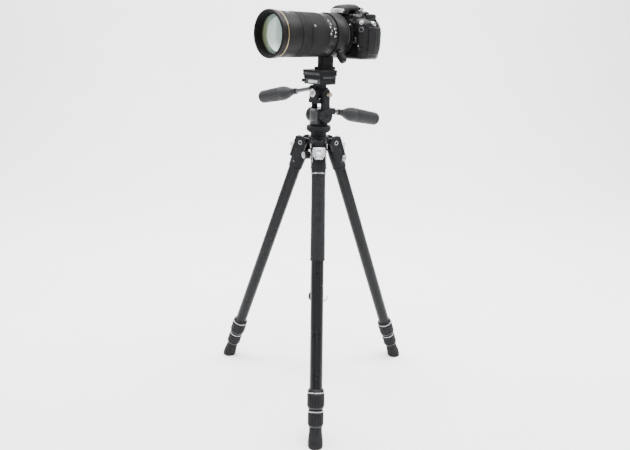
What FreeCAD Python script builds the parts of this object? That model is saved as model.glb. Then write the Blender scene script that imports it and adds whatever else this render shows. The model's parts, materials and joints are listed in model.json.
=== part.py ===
import FreeCAD, Part
import math
import os

# Camera with a long zoom lens on a three-way head and a three-leg tripod, in millimetres.
# +Z is up and the feet stand on Z = 0. The tripod's axis is the Z axis before the final shift
# (see ORIGIN_SHIFT), the front leg points along -Y, and the head is panned by HEAD_HEADING.
# Head, lens and camera parts are made in a head frame: +X along the lens, +Y to the left of a
# person behind the camera, +Z up.

V = FreeCAD.Vector
X_AXIS = V(1, 0, 0)
Y_AXIS = V(0, 1, 0)
Z_AXIS = V(0, 0, 1)

# ---- driving dimensions -------------------------------------------------------------------
FOOT_RADIUS = 260.0          # tripod axis to each foot, on the floor
PIVOT_RADIUS = 36.5          # tripod axis to each leg pivot
PIVOT_HEIGHT = 601.5
TILT_AXIS_HEIGHT = 663.0     # front tilt axis, across the lens
SIDE_AXIS_HEIGHT = 712.0     # side tilt axis, along the lens
CLAMP_BOTTOM = 730.0
PLATE_TOP = 760.0
FOOT_SCREW_X = -12.0         # screw from the plate into the lens foot
SCREW_HEAD_TOP = 747.5
LENS_AXIS_HEIGHT = 831.0
LENS_FRONT = 144.4           # front rim of the lens, ahead of the tripod axis
LENS_MOUNT = -52.0           # lens flange, where the camera starts
HEAD_HEADING = 222.2         # direction of the lens in plan, degrees from +X
LEG_HEADINGS = {"front": -90.0, "left": 150.0, "right": 30.0}
RUN_FIT = 0.06               # radial running clearance
SLIP_GAP = 0.3               # gap between faces that pass each other

# ---- legs: stations are distances from the pivot down the leg ------------------------------
LEG_ANGLE = math.degrees(math.atan2(FOOT_RADIUS - PIVOT_RADIUS, PIVOT_HEIGHT))
LEG_LENGTH = math.hypot(FOOT_RADIUS - PIVOT_RADIUS, PIVOT_HEIGHT)
CASTING_END = 64.0
GRIP_START = 66.0
GRIP_END = 249.0
UPPER_LOCK_START = 520.0
LOWER_LOCK_START = 562.4
FOOT_START = 600.4
FOOT_SOCKET_END = 622.0      # how far the lower tube reaches into the foot
UPPER_TUBE_R = 12.5
MIDDLE_TUBE_R = 10.9
LOWER_TUBE_R = 9.3
TUBE_WALL = 1.2
UPPER_LOCK_R = 18.5
LOWER_LOCK_R = 16.8
CASTING_R = 16.8
CASTING_END_R = 15.6
PIN_R = 4.0
LUG_HALF_WIDTH = 11.0
LUG_END_R = 9.0

# ---- spider and column ----------------------------------------------------------------------
HUB_R = 21.5
HUB_BOTTOM = 592.2
HUB_TOP = 617.3
CLAMP_COLLAR_R = 18.0
CLAMP_COLLAR_BOTTOM = 566.0
COLUMN_R = 11.0
COLUMN_WALL = 1.6
COLUMN_BOTTOM = 240.0
CAP_R = 15.5                 # bulb that closes the column
CAP_BOTTOM = 220.0
HOOK_WIRE_R = 2.0
HOOK_BEND_R = 3.0
HOOK_ARC_R = 12.5
HOOK_REACH = 31.0            # from the column's axis to the middle of the wire
HOOK_END_ANGLE = 375.0       # where the turned-up end stops, 15 degrees above level
COLUMN_KNOB_HEADING = 210.0
COLUMN_KNOB_HEIGHT = 577.0
TOP_PLATE_TOP = 629.5
HEAD_BASE_R = 27.0
HEAD_BASE_TOP = 641.5

# ---- head -----------------------------------------------------------------------------------
POST_HALF_WIDTH = 12.0       # the pan post, between the yoke's arms
POST_TOP = 678.0
BOSS_R = 15.6
BOSS_END = 26.0
ARM_OUTER = 17.0
BRIDGE_BOTTOM = 690.0
BRIDGE_TOP = 698.5
CHEEK_R = 11.0
CHEEK_OUTER = 20.0
AXLE_R = 6.0
SIDE_AXLE_R = 5.0
CLAMP_TOP = 743.0
RAIL_TOP = 748.0
CLAMP_HALF_LENGTH = 29.5
HANDLE_DROOP = 11.0          # degrees below level
HANDLE_ROD_R = 4.5
TILT_HANDLE_BASE = V(-34, 0, 671)
TILT_ROD_LENGTH = 34.0
TILT_GRIP_LENGTH = 126.0
TILT_GRIP_R = 16.4
SIDE_HANDLE_BASE = V(6, -18, 720)
SIDE_ROD_LENGTH = 60.0
SIDE_GRIP_LENGTH = 116.0
SIDE_GRIP_R = 16.0

# ---- lens and camera -------------------------------------------------------------------------
LENS_FRONT_R = 45.7
FILTER_R = 41.0
GLASS_R = 38.0
BARREL_R = 42.5
COLLAR_REAR = -40.0
COLLAR_FRONT = -8.0
COLLAR_R = 45.6
COLLAR_KNOB_ANGLE = -48.0    # from level on the lens's left, degrees
COLLAR_KNOB_X = -24.0
BODY_FRONT = -60.0
BODY_REAR = -126.0
BODY_LEFT = 70.0
BODY_RIGHT = -77.0
BODY_BOTTOM = 784.0
BODY_TOP = 866.0
PRISM_TOP = 886.0
MODE_DIAL_AT = (-98, 52)
SHUTTER_AT = (-54, -61)
COMMAND_DIAL_AT = (-118, -60)
COMMAND_DIAL_LOW = 854.0
COMMAND_DIAL_TOP = 860.0
DIAL_R = 11.0
DIAL_STEM_R = 6.0
SHUTTER_R = 5.0
TERMINAL_COVER_X = (-114.0, -66.0)
TERMINAL_COVER_Z = (792.0, 852.0)
DOOR_DEPTH = 2.5             # how far the doors are let into the shell
TRIPOD_THREAD_R = 3.175      # 1/4-20 thread, major radius

ORIGIN_SHIFT = V(0, 64.45, 0)   # puts the origin under the middle of the whole object


# ---- helpers -----------------------------------------------------------------------------------
def box(x0, x1, y0, y1, z0, z1):
    return Part.makeBox(x1 - x0, y1 - y0, z1 - z0, V(x0, y0, z0))


def rod(start, end, radius):
    """A round bar between two points."""
    along = end - start
    return Part.makeCylinder(radius, along.Length, start, along)


def ring(start, end, outer, inner):
    """A tube between two points, with its bore cut right through."""
    along = end - start
    extra = along * (1.0 / along.Length)
    return rod(start, end, outer).cut(rod(start - extra, end + extra, inner))


def turned(outline, origin, axis):
    """A solid of revolution. The outline is a closed list of (station along axis, radius)."""
    points = [V(radius, 0, station) for station, radius in outline]
    face = Part.Face(Part.makePolygon(points + [points[0]]))
    solid = face.revolve(V(0, 0, 0), Z_AXIS, 360)
    turn = FreeCAD.Rotation(Z_AXIS, axis)
    solid.Placement = FreeCAD.Placement(origin, turn)
    return solid


def prism(points, low, high):
    """An upright prism on a plan outline of (x, y) points."""
    corners = [V(x, y, low) for x, y in points]
    face = Part.Face(Part.makePolygon(corners + [corners[0]]))
    return face.extrude(V(0, 0, high - low))


def rounded_box(x0, x1, y0, y1, z0, z1, radius, direction):
    """A box whose edges along one direction are rounded."""
    shape = box(x0, x1, y0, y1, z0, z1)
    edges = [e for e in shape.Edges if abs(e.tangentAt(e.FirstParameter).dot(direction)) > 0.99]
    return shape.makeFillet(radius, edges)


def fuse(first, *others):
    return first.multiFuse(list(others)).removeSplitter()


def save(name, shape):
    shape = shape.copy()
    shape.translate(ORIGIN_SHIFT)
    shape.exportStep(os.path.join("parts", name + ".step"))


def save_on_head(name, shape):
    """Turn a shape from the head frame to the tripod's frame and save it."""
    shape = shape.copy()
    shape.rotate(V(0, 0, 0), Z_AXIS, HEAD_HEADING)
    save(name, shape)


# ---- legs, made hanging straight down from the pivot, then swung out ------------------------------
def swing_out(shape, heading):
    shape = shape.copy()
    shape.rotate(V(0, 0, 0), Y_AXIS, -LEG_ANGLE)
    shape.translate(V(PIVOT_RADIUS, 0, PIVOT_HEIGHT))
    shape.rotate(V(0, 0, 0), Z_AXIS, heading)
    return shape


def down(station):
    return V(0, 0, -station)


def leg_casting():
    """A fork that straddles the spider's lug, above a tapering socket for the upper tube."""
    cheek_outer = CASTING_R
    cheek_inner = LUG_HALF_WIDTH + SLIP_GAP
    fork_r = 14.0
    socket_top = 12.0
    body = turned(
        [(socket_top - 1.5, 0), (socket_top - 1.5, CASTING_R), (CASTING_END - 22, CASTING_R),
         (CASTING_END - 1, CASTING_END_R), (CASTING_END, CASTING_END_R - 0.8), (CASTING_END, 0)],
        V(0, 0, 0), V(0, 0, -1))
    socket = rod(down(socket_top + 2.0), down(CASTING_END + 1), UPPER_TUBE_R)
    front_pad = box(8, CASTING_R, -cheek_outer + 2, cheek_outer - 2, -40, -socket_top)
    body = fuse(body, front_pad)
    cheeks = []
    for side in (-1, 1):
        low, high = sorted((side * cheek_inner, side * cheek_outer))
        round_end = rod(V(0, low, 0), V(0, high, 0), fork_r)
        web = box(-fork_r, fork_r, low, high, -socket_top - 4, 0)
        cheeks.append(fuse(round_end, web))
    body = fuse(body, *cheeks)
    pin_hole = rod(V(0, -20, 0), V(0, 20, 0), PIN_R + RUN_FIT)
    return body.cut(socket).cut(pin_hole)


def angle_lock():
    """A pull-out plate with a round button. Its tongue reaches in to the spider's lug."""
    plate_back = CASTING_R + SLIP_GAP
    plate_front = plate_back + 4.0
    plate_half = 13.0
    outline = [(-plate_half, 8), (plate_half, 8), (plate_half, 24), (8, 33), (-8, 33), (-plate_half, 24)]
    corners = [V(plate_back, y, -station) for y, station in outline]
    plate = Part.Face(Part.makePolygon(corners + [corners[0]])).extrude(V(plate_front - plate_back, 0, 0))
    tab = box(plate_back, plate_front, -9, 9, -12, 3)
    button = rod(V(plate_front - 1, 0, -16), V(plate_front + 8, 0, -16), 7.0)
    tongue = box(LUG_END_R + 1.5, plate_back + 1, -9, 9, -6, 3)
    return fuse(plate, tab, button, tongue)


def leg_tube(outer, top, bottom):
    return ring(down(top), down(bottom), outer, outer - TUBE_WALL)


def twist_lock(start, end, outer, upper_r, inner_r):
    """A collar that turns on the end of one tube and closes on the next one."""
    lip = end - 6.0
    body = turned(
        [(start, upper_r + RUN_FIT), (start, outer - 2), (start + 2, outer), (end - 2, outer),
         (end, outer - 2), (end, inner_r + RUN_FIT), (lip, inner_r + RUN_FIT), (lip, upper_r + RUN_FIT)],
        V(0, 0, 0), V(0, 0, -1))
    return body


def rubber_foot():
    """A bulging rubber foot around the lower tube's end, longer than the leg so that it can be cut flat."""
    tip = LEG_LENGTH + 6.0
    socket_end = FOOT_SOCKET_END
    return turned(
        [(FOOT_START, LOWER_TUBE_R), (FOOT_START, 12.7), (FOOT_START + 16, 13.6), (FOOT_START + 28, 15.9),
         (tip - 8, 15.9), (tip - 2.5, 13.5), (tip, 8.0), (tip, 0), (socket_end, 0),
         (socket_end, LOWER_TUBE_R)],
        V(0, 0, 0), V(0, 0, -1))


def make_leg(name, heading):
    floor_box = box(-600, 600, -600, 600, -60, 0)
    pieces = {
        "casting": leg_casting(),
        "angle_lock": angle_lock(),
        "upper_tube": leg_tube(UPPER_TUBE_R, 14.0, LOWER_LOCK_START - 8),
        "upper_twist_lock": twist_lock(
            UPPER_LOCK_START, LOWER_LOCK_START - 0.4, UPPER_LOCK_R, UPPER_TUBE_R, MIDDLE_TUBE_R),
        "middle_tube": leg_tube(MIDDLE_TUBE_R, 40.0, FOOT_START - 8),
        "lower_twist_lock": twist_lock(
            LOWER_LOCK_START, FOOT_START - 0.4, LOWER_LOCK_R, MIDDLE_TUBE_R, LOWER_TUBE_R),
        "lower_tube": leg_tube(LOWER_TUBE_R, 60.0, FOOT_SOCKET_END),
    }
    for piece, shape in pieces.items():
        save(name + "_leg_" + piece, swing_out(shape, heading))
    save(name + "_leg_foot", swing_out(rubber_foot(), heading).cut(floor_box))


def grip_sleeve():
    """A foam and rubber sleeve that slips over the upper tube and swells towards its lower end."""
    return turned(
        [(GRIP_START, UPPER_TUBE_R), (GRIP_START, 14.6), (GRIP_START + 2, 15.1), (GRIP_END - 2, 16.0),
         (GRIP_END, 15.4), (GRIP_END, UPPER_TUBE_R)],
        V(0, 0, 0), V(0, 0, -1))


# ---- spider, column and hook -----------------------------------------------------------------------
def spider():
    hub = fuse(
        rod(V(0, 0, HUB_BOTTOM), V(0, 0, HUB_TOP), HUB_R),
        rod(V(0, 0, CLAMP_COLLAR_BOTTOM), V(0, 0, HUB_BOTTOM + 1), CLAMP_COLLAR_R),
    )
    lugs = []
    for heading in LEG_HEADINGS.values():
        right_end = V(PIVOT_RADIUS, -LUG_HALF_WIDTH, PIVOT_HEIGHT)
        left_end = V(PIVOT_RADIUS, LUG_HALF_WIDTH, PIVOT_HEIGHT)
        web_top = PIVOT_HEIGHT + LUG_END_R
        web = box(15, PIVOT_RADIUS, -LUG_HALF_WIDTH, LUG_HALF_WIDTH, PIVOT_HEIGHT - 1, web_top)
        lug = fuse(rod(right_end, left_end, LUG_END_R), web)
        lug = lug.cut(rod(V(PIVOT_RADIUS, -20, PIVOT_HEIGHT), V(PIVOT_RADIUS, 20, PIVOT_HEIGHT), PIN_R))
        lug.rotate(V(0, 0, 0), Z_AXIS, heading)
        lugs.append(lug)
    body = fuse(hub, *lugs)
    body = body.cut(rod(V(0, 0, 500), V(0, 0, 700), COLUMN_R + RUN_FIT))
    stem_hole = column_knob_line(COLUMN_R, CLAMP_COLLAR_R + 5, 3.0 + RUN_FIT)
    return body.cut(stem_hole)


def hinge_pins():
    """Three identical pins, one through each lug."""
    half = CASTING_R + 1.2
    pins = []
    for heading in LEG_HEADINGS.values():
        pin = rod(V(PIVOT_RADIUS, -half, PIVOT_HEIGHT), V(PIVOT_RADIUS, half, PIVOT_HEIGHT), PIN_R)
        pin.rotate(V(0, 0, 0), Z_AXIS, heading)
        pins.append(pin)
    return Part.makeCompound(pins)


def column_knob_line(start, end, radius):
    """A bar along the line of the column's lock knob, between two distances from the tripod's axis."""
    angle = math.radians(COLUMN_KNOB_HEADING)
    way = V(math.cos(angle), math.sin(angle), 0)
    level = V(0, 0, COLUMN_KNOB_HEIGHT)
    return rod(level + way * start, level + way * end, radius)


def column_lock_knob():
    return fuse(
        column_knob_line(COLUMN_R + 0.5, 25, 3.0),
        column_knob_line(CLAMP_COLLAR_R + SLIP_GAP, 24, 5.0),
        column_knob_line(23, 40, 8.5),
    )


def centre_column():
    return ring(V(0, 0, COLUMN_BOTTOM), V(0, 0, HUB_TOP + 5), COLUMN_R, COLUMN_R - COLUMN_WALL)


def column_top_plate():
    """The collar and disc that carry the head. The column's tube ends inside it."""
    start = HUB_TOP + SLIP_GAP
    tube_end = HUB_TOP + 5
    return turned(
        [(start, COLUMN_R), (start, 18), (TOP_PLATE_TOP - 3, 18), (TOP_PLATE_TOP - 2, 24),
         (TOP_PLATE_TOP, 24), (TOP_PLATE_TOP, 0), (tube_end, 0), (tube_end, COLUMN_R)],
        V(0, 0, 0), Z_AXIS)


def column_end_cap():
    """A rounded bulb on the column's lower end, with a plug up the tube and a hole for the hook's stem."""
    inside = COLUMN_R - COLUMN_WALL
    shoulder = COLUMN_BOTTOM - 0.3
    cap = turned(
        [(CAP_BOTTOM, 0), (CAP_BOTTOM, 10), (CAP_BOTTOM + 2, 13.4), (CAP_BOTTOM + 6, CAP_R),
         (CAP_BOTTOM + 13, CAP_R), (shoulder - 2, 13.4), (shoulder, COLUMN_R + 0.6), (shoulder, inside),
         (COLUMN_BOTTOM + 14, inside), (COLUMN_BOTTOM + 14, 0)],
        V(0, 0, 0), Z_AXIS)
    return cap.cut(rod(V(0, 0, CAP_BOTTOM - 1), V(0, 0, CAP_BOTTOM + 12), HOOK_WIRE_R + RUN_FIT))


def ballast_hook():
    """An open hook of round wire: a stem in the bulb, a bend, a level arm and an end that turns up."""
    level = CAP_BOTTOM - HOOK_BEND_R - 0.4
    bend_centre = V(HOOK_BEND_R, 0, level + HOOK_BEND_R)
    arc_centre = V(HOOK_REACH - HOOK_ARC_R, 0, level + HOOK_ARC_R)
    top = V(0, 0, CAP_BOTTOM + 10)
    path = Part.Wire([
        Part.makeLine(top, on_arc(bend_centre, HOOK_BEND_R, 180)),
        arc_between(bend_centre, HOOK_BEND_R, 180, 270),
        Part.makeLine(on_arc(bend_centre, HOOK_BEND_R, 270), on_arc(arc_centre, HOOK_ARC_R, 270)),
        arc_between(arc_centre, HOOK_ARC_R, 270, HOOK_END_ANGLE),
    ])
    section = Part.Wire(Part.makeCircle(HOOK_WIRE_R, top, Z_AXIS))
    return path.makePipeShell([section], True, True)


def on_arc(centre, radius, degrees):
    """A point of a circle in the XZ plane."""
    angle = math.radians(degrees)
    return centre + V(radius * math.cos(angle), 0, radius * math.sin(angle))


def arc_between(centre, radius, first, last):
    points = [on_arc(centre, radius, angle) for angle in (first, (first + last) / 2, last)]
    return Part.Arc(*points).toShape()


# ---- head, in the head frame --------------------------------------------------------------------------
def head_base():
    return turned(
        [(TOP_PLATE_TOP, 0), (TOP_PLATE_TOP, 25.5), (TOP_PLATE_TOP + 1.5, HEAD_BASE_R),
         (HEAD_BASE_TOP - 1.5, HEAD_BASE_R), (HEAD_BASE_TOP, 25.5), (HEAD_BASE_TOP, 0)],
        V(0, 0, 0), Z_AXIS)


def pan_body():
    """A collar with an upright post that the yoke straddles. The post is rounded about the tilt axis."""
    disc_low = HEAD_BASE_TOP + SLIP_GAP
    disc_high = disc_low + 4.5
    front_x = 11.0
    disc = rod(V(0, 0, disc_low), V(0, 0, disc_high), 19.5)
    barrel = rod(V(front_x, 0, disc_high - 1), V(front_x, 0, POST_TOP), POST_HALF_WIDTH)
    back = box(-18, front_x, -POST_HALF_WIDTH, POST_HALF_WIDTH, disc_high - 1, POST_TOP)
    round_about_tilt = rod(V(0, -20, TILT_AXIS_HEIGHT), V(0, 20, TILT_AXIS_HEIGHT), 24.5)
    post = fuse(barrel, back).common(round_about_tilt)
    bore = rod(V(0, -20, TILT_AXIS_HEIGHT), V(0, 20, TILT_AXIS_HEIGHT), AXLE_R + RUN_FIT)
    return fuse(disc, post).cut(bore)


def tilt_body():
    """The yoke: two bosses on the tilt axis, two arms that narrow upwards, a bridge with the side-tilt
    cheeks, a rear bridge for the handle, and an ear."""
    inner = POST_HALF_WIDTH + SLIP_GAP
    rear_low = TILT_AXIS_HEIGHT + 1
    rear_high = TILT_AXIS_HEIGHT + 15
    pieces = [box(-16, 16, -ARM_OUTER, ARM_OUTER, BRIDGE_BOTTOM, BRIDGE_TOP)]
    for side in (-1, 1):
        low, high = sorted((side * inner, side * BOSS_END))
        pieces.append(rod(V(0, low, TILT_AXIS_HEIGHT), V(0, high, TILT_AXIS_HEIGHT), BOSS_R))
        low, high = sorted((side * inner, side * ARM_OUTER))
        pieces.append(box(-14, 14, low, high, TILT_AXIS_HEIGHT, POST_TOP + 1))
        pieces.append(box(-7, 7, low, high, POST_TOP, BRIDGE_BOTTOM + 1))
        pieces.append(box(-30, -12, low, high, rear_low, rear_high))
        low, high = sorted((side * inner, side * CHEEK_OUTER))
        pieces.append(rod(V(low, 0, SIDE_AXIS_HEIGHT), V(high, 0, SIDE_AXIS_HEIGHT), CHEEK_R))
        pieces.append(box(low, high, -CHEEK_R, CHEEK_R, BRIDGE_TOP - 0.5, SIDE_AXIS_HEIGHT))
    axle = rod(V(0, -inner - 1, TILT_AXIS_HEIGHT), V(0, inner + 1, TILT_AXIS_HEIGHT), AXLE_R)
    rear_bridge = box(-34, -25.2, -ARM_OUTER, ARM_OUTER, rear_low, rear_high)
    ear = rounded_box(-9, 9, 14, 24, 670, 720, 6, Y_AXIS)
    side_axle = rod(V(-inner - 1, 0, SIDE_AXIS_HEIGHT), V(inner + 1, 0, SIDE_AXIS_HEIGHT), SIDE_AXLE_R)
    return fuse(axle, side_axle, rear_bridge, ear, *pieces)


def side_tilt_cap():
    return turned(
        [(20, 0), (20, 8.5), (22.2, 8.5), (23.2, 7.0), (23.2, 0)],
        V(0, 0, SIDE_AXIS_HEIGHT), X_AXIS)


def friction_knob():
    way = V(0, 1, 0)
    centre = V(0, 24 + SLIP_GAP, 709.5)
    return fuse(rod(centre, centre + way * 4, 2.6), rod(centre + way * 3, centre + way * 12, 4.4))


def top_body():
    """The side-tilt hub and neck with the plate clamp on top."""
    hub_half = POST_HALF_WIDTH
    hub = rod(V(-hub_half, 0, SIDE_AXIS_HEIGHT), V(hub_half, 0, SIDE_AXIS_HEIGHT), 12.0)
    neck = box(-10.5, 10.5, -10, 10, SIDE_AXIS_HEIGHT, CLAMP_BOTTOM + 1)
    clamp = rounded_box(-20, 20, -CLAMP_HALF_LENGTH, CLAMP_HALF_LENGTH, CLAMP_BOTTOM, CLAMP_TOP, 2.5, Z_AXIS)
    rails = []
    for side in (-1, 1):
        low, high = sorted((side * (CLAMP_HALF_LENGTH - 4), side * CLAMP_HALF_LENGTH))
        rails.append(box(-20, 20, low, high, CLAMP_TOP - 1, RAIL_TOP))
    handle_boss = rod(V(6, -9, 721.5), SIDE_HANDLE_BASE, 7.0)
    bore = rod(V(-20, 0, SIDE_AXIS_HEIGHT), V(20, 0, SIDE_AXIS_HEIGHT), SIDE_AXLE_R + RUN_FIT)
    return fuse(hub, neck, clamp, handle_boss, *rails).cut(bore)


def clamp_lever():
    """A cam lever on the clamp's right side, turning on an upright pin."""
    hub = rod(V(-12, -34.5, 731), V(-12, -34.5, 742), 4.7)
    arm = rounded_box(-12, 17, -38, -33.2, 733.5, 739.5, 1.5, Z_AXIS)
    return fuse(hub, arm)


def quick_release_plate():
    """A plate whose lower half slides between the clamp's rails."""
    lower = box(-21, 21, -25.4, 25.4, 743.05, 749)
    upper = rounded_box(-24, 24, -30, 30, 748.3, PLATE_TOP, 2.5, Z_AXIS)
    plate = fuse(lower, upper)
    for side in (-1, 1):
        low, high = sorted((side * 27.5, side * 31.0))
        plate = plate.cut(box(-30, 30, low, high, 753, 755))
    screw_hole = rod(V(FOOT_SCREW_X, 0, 740), V(FOOT_SCREW_X, 0, PLATE_TOP + 1), 3.5)
    screw_recess = rod(V(FOOT_SCREW_X, 0, 740), V(FOOT_SCREW_X, 0, SCREW_HEAD_TOP), 9.0)
    return plate.cut(screw_hole).cut(screw_recess)


def plate_screw():
    """The 1/4-20 screw that holds the lens foot on the plate, with a slotted head."""
    head = rod(V(FOOT_SCREW_X, 0, SCREW_HEAD_TOP - 3.2), V(FOOT_SCREW_X, 0, SCREW_HEAD_TOP), 8.5)
    shank = rod(V(FOOT_SCREW_X, 0, SCREW_HEAD_TOP - 1), V(FOOT_SCREW_X, 0, PLATE_TOP + 9), TRIPOD_THREAD_R)
    slot = box(FOOT_SCREW_X - 10, FOOT_SCREW_X + 10, -0.9, 0.9, SCREW_HEAD_TOP - 4, SCREW_HEAD_TOP - 2)
    return fuse(head, shank).cut(slot)


def handle(base, away, rod_length, grip_length, grip_r):
    """The rod and the grip of one panning handle. It leaves its base in a level direction and droops."""
    droop = math.radians(HANDLE_DROOP)
    way = away * math.cos(droop) - Z_AXIS * math.sin(droop)
    start = HANDLE_ROD_R * math.tan(droop) + SLIP_GAP
    end = rod_length + grip_length
    bar = rod(base + way * start, base + way * (end - 12), HANDLE_ROD_R)
    grip = turned(
        [(rod_length, HANDLE_ROD_R), (rod_length, 7.0), (rod_length + 9, 8.4), (rod_length + 40, grip_r),
         (end - 5, grip_r - 1.2), (end, grip_r - 5), (end, 0), (end - 12, 0), (end - 12, HANDLE_ROD_R)],
        base, way)
    return bar, grip


# ---- lens, in the head frame; stations are X ------------------------------------------------------------
def lens_line(z=LENS_AXIS_HEIGHT):
    return V(0, 0, z)


def lens_barrel():
    return turned(
        [(LENS_MOUNT, 24), (LENS_MOUNT, 33), (-45, 33), (-43, 39), (COLLAR_REAR - 0.6, 41.5),
         (COLLAR_REAR, BARREL_R - 0.3), (COLLAR_FRONT, BARREL_R - 0.3), (COLLAR_FRONT + 0.6, 43.6),
         (18, 43.6), (18.4, 41.5), (92, 41.5), (92.4, 44.4), (119.4, 44.8), (119.4, 36), (-40, 36)],
        lens_line(), X_AXIS)


def sleeve(start, end, outer, inner):
    """A ring around the barrel with small chamfers."""
    return turned(
        [(start, inner), (start, outer - 0.8), (start + 0.8, outer), (end - 0.8, outer), (end, outer - 0.8),
         (end, inner)],
        lens_line(), X_AXIS)


def front_ring():
    """The front rim, with the filter thread and a stepped recess down to the glass."""
    start = 119.4
    return turned(
        [(start, 36), (start, LENS_FRONT_R - 0.7), (start + 2, LENS_FRONT_R),
         (LENS_FRONT - 1.5, LENS_FRONT_R),
         (LENS_FRONT, 44.2), (LENS_FRONT, FILTER_R), (136, FILTER_R), (136, GLASS_R + 0.5), (128, GLASS_R),
         (124, GLASS_R), (124, 36)],
        lens_line(), X_AXIS)


def front_glass():
    """The front element: flat behind and domed in front."""
    dome_r = 120.0
    back = 124.0
    edge = 127.0
    drop = dome_r - math.sqrt(dome_r ** 2 - GLASS_R ** 2)
    ball = Part.makeSphere(dome_r, V(edge + drop - dome_r, 0, LENS_AXIS_HEIGHT))
    disc = rod(V(back, 0, LENS_AXIS_HEIGHT), V(edge + drop + 1, 0, LENS_AXIS_HEIGHT), GLASS_R)
    return disc.common(ball)


def lens_collar():
    """The ring that holds the lens, with a neck down to the foot on the plate."""
    band_start = V(COLLAR_REAR + 0.4, 0, LENS_AXIS_HEIGHT)
    band_end = V(COLLAR_FRONT - 0.2, 0, LENS_AXIS_HEIGHT)
    band = ring(band_start, band_end, COLLAR_R, BARREL_R)
    neck_top = LENS_AXIS_HEIGHT - BARREL_R + 10.5
    neck = rounded_box(-34, 2, -9, 9, PLATE_TOP + 5, neck_top, 5, Z_AXIS)
    inside = rod(V(-60, 0, LENS_AXIS_HEIGHT), V(60, 0, LENS_AXIS_HEIGHT), COLLAR_R - 1.0)
    foot = rounded_box(-37, 8, -12.5, 12.5, PLATE_TOP, PLATE_TOP + 6, 5, Z_AXIS)
    thread = rod(V(FOOT_SCREW_X, 0, PLATE_TOP - 1), V(FOOT_SCREW_X, 0, PLATE_TOP + 9), TRIPOD_THREAD_R)
    return fuse(band, neck.cut(inside), foot).cut(thread)


def collar_knob():
    """The collar's clamping knob, on a radial stud at the lower left of the lens."""
    angle = math.radians(COLLAR_KNOB_ANGLE)
    way = V(0, math.cos(angle), math.sin(angle))
    low = COLLAR_R + SLIP_GAP
    return turned(
        [(low, 0), (low, 5), (COLLAR_R + 5, 5), (COLLAR_R + 6, 8.5), (COLLAR_R + 24, 7.0),
         (COLLAR_R + 26, 5.0), (COLLAR_R + 26, 0)],
        V(COLLAR_KNOB_X, 0, LENS_AXIS_HEIGHT), way)


# ---- camera, in the head frame ---------------------------------------------------------------
def soft_outline(points, low, high, radius):
    """An upright prism with its vertical edges rounded."""
    shape = prism(points, low, high)
    edges = [e for e in shape.Edges if abs(e.tangentAt(e.FirstParameter).z) > 0.99]
    return shape.makeFillet(radius, edges)


def upright(place, low, high, radius):
    """A vertical round bar at a plan position, between two heights."""
    return rod(V(place[0], place[1], low), V(place[0], place[1], high), radius)


def hipped(low_corners, high_corners):
    """A solid with flat sloping faces between two four-sided outlines."""
    low = Part.makePolygon(low_corners + low_corners[:1])
    high = Part.makePolygon(high_corners + high_corners[:1])
    return Part.makeLoft([low, high], True, True)


def camera_body():
    """The shell: body, hand grip, prism housing with the hot shoe, eyepiece and lens flange."""
    shell = soft_outline(
        [(BODY_FRONT, 36), (BODY_FRONT - 8, BODY_LEFT), (BODY_REAR + 14, BODY_LEFT),
         (BODY_REAR, BODY_LEFT - 14), (BODY_REAR, BODY_RIGHT + 8),
         (BODY_REAR + 12, BODY_RIGHT), (BODY_FRONT, BODY_RIGHT), (BODY_FRONT, -40)],
        BODY_BOTTOM, BODY_TOP, 5)
    grip = soft_outline(
        [(BODY_FRONT - 10, -46), (-46, -49), (-38, -58), (-42, -72), (BODY_FRONT - 10, BODY_RIGHT)],
        BODY_BOTTOM + 1, BODY_TOP - 4, 4)
    front_block = rod(V(LENS_MOUNT - 3, 0, LENS_AXIS_HEIGHT), V(BODY_FRONT - 2, 0, LENS_AXIS_HEIGHT), 36)
    flange = ring(V(LENS_MOUNT, 0, LENS_AXIS_HEIGHT), V(LENS_MOUNT - 4, 0, LENS_AXIS_HEIGHT), 32, 24)
    housing = hipped(
        [V(-56, -34, 862), V(-56, 34, 862), V(-124, 34, 862), V(-124, -34, 862)],
        [V(-56, -21, 883), V(-56, 21, 883), V(-118, 19, PRISM_TOP), V(-118, -19, PRISM_TOP)])
    shoe_base = box(-119, -101, -11, 11, PRISM_TOP - 4, PRISM_TOP + 1)
    shoe = box(-119, -101, -10.5, 10.5, PRISM_TOP, PRISM_TOP + 4)
    shoe = shoe.cut(box(-117.5, -100, -9.3, 9.3, PRISM_TOP + 1, PRISM_TOP + 3))
    shoe = shoe.cut(box(-117.5, -100, -6.2, 6.2, PRISM_TOP + 1, PRISM_TOP + 5))
    eyepiece = rounded_box(-131, -120, -17, 17, 862, 882, 4, X_AXIS).cut(box(-132, -126, -11, 11, 866, 878))
    body = fuse(shell, grip, front_block, flange, housing, shoe_base, shoe, eyepiece)
    gap = SLIP_GAP
    side_low, side_high = TERMINAL_COVER_X[0] - gap, TERMINAL_COVER_X[1] + gap
    side_bottom, side_top = TERMINAL_COVER_Z[0] - gap, TERMINAL_COVER_Z[1] + gap
    pockets = [
        upright(MODE_DIAL_AT, BODY_TOP - 2, BODY_TOP + 1, DIAL_STEM_R + RUN_FIT),
        upright(SHUTTER_AT, BODY_TOP - 12, BODY_TOP + 1, SHUTTER_R + SLIP_GAP),
        upright(COMMAND_DIAL_AT, COMMAND_DIAL_LOW - 1, COMMAND_DIAL_TOP + 1, DIAL_R + SLIP_GAP),
        box(side_low, side_high, BODY_LEFT - DOOR_DEPTH, BODY_LEFT + 1, side_bottom, side_top),
        box(-112 - gap, -64 + gap, -74 - gap, -46 + gap, BODY_BOTTOM - 1, BODY_BOTTOM + DOOR_DEPTH),
        box(-110 - gap, -76 + gap, BODY_RIGHT - 1, BODY_RIGHT + DOOR_DEPTH, 800 - gap, 850 + gap),
        upright((-90, 0), BODY_BOTTOM - 1, BODY_BOTTOM + 8, TRIPOD_THREAD_R),
    ]
    for pocket in pockets:
        body = body.cut(pocket)
    return body


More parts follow.
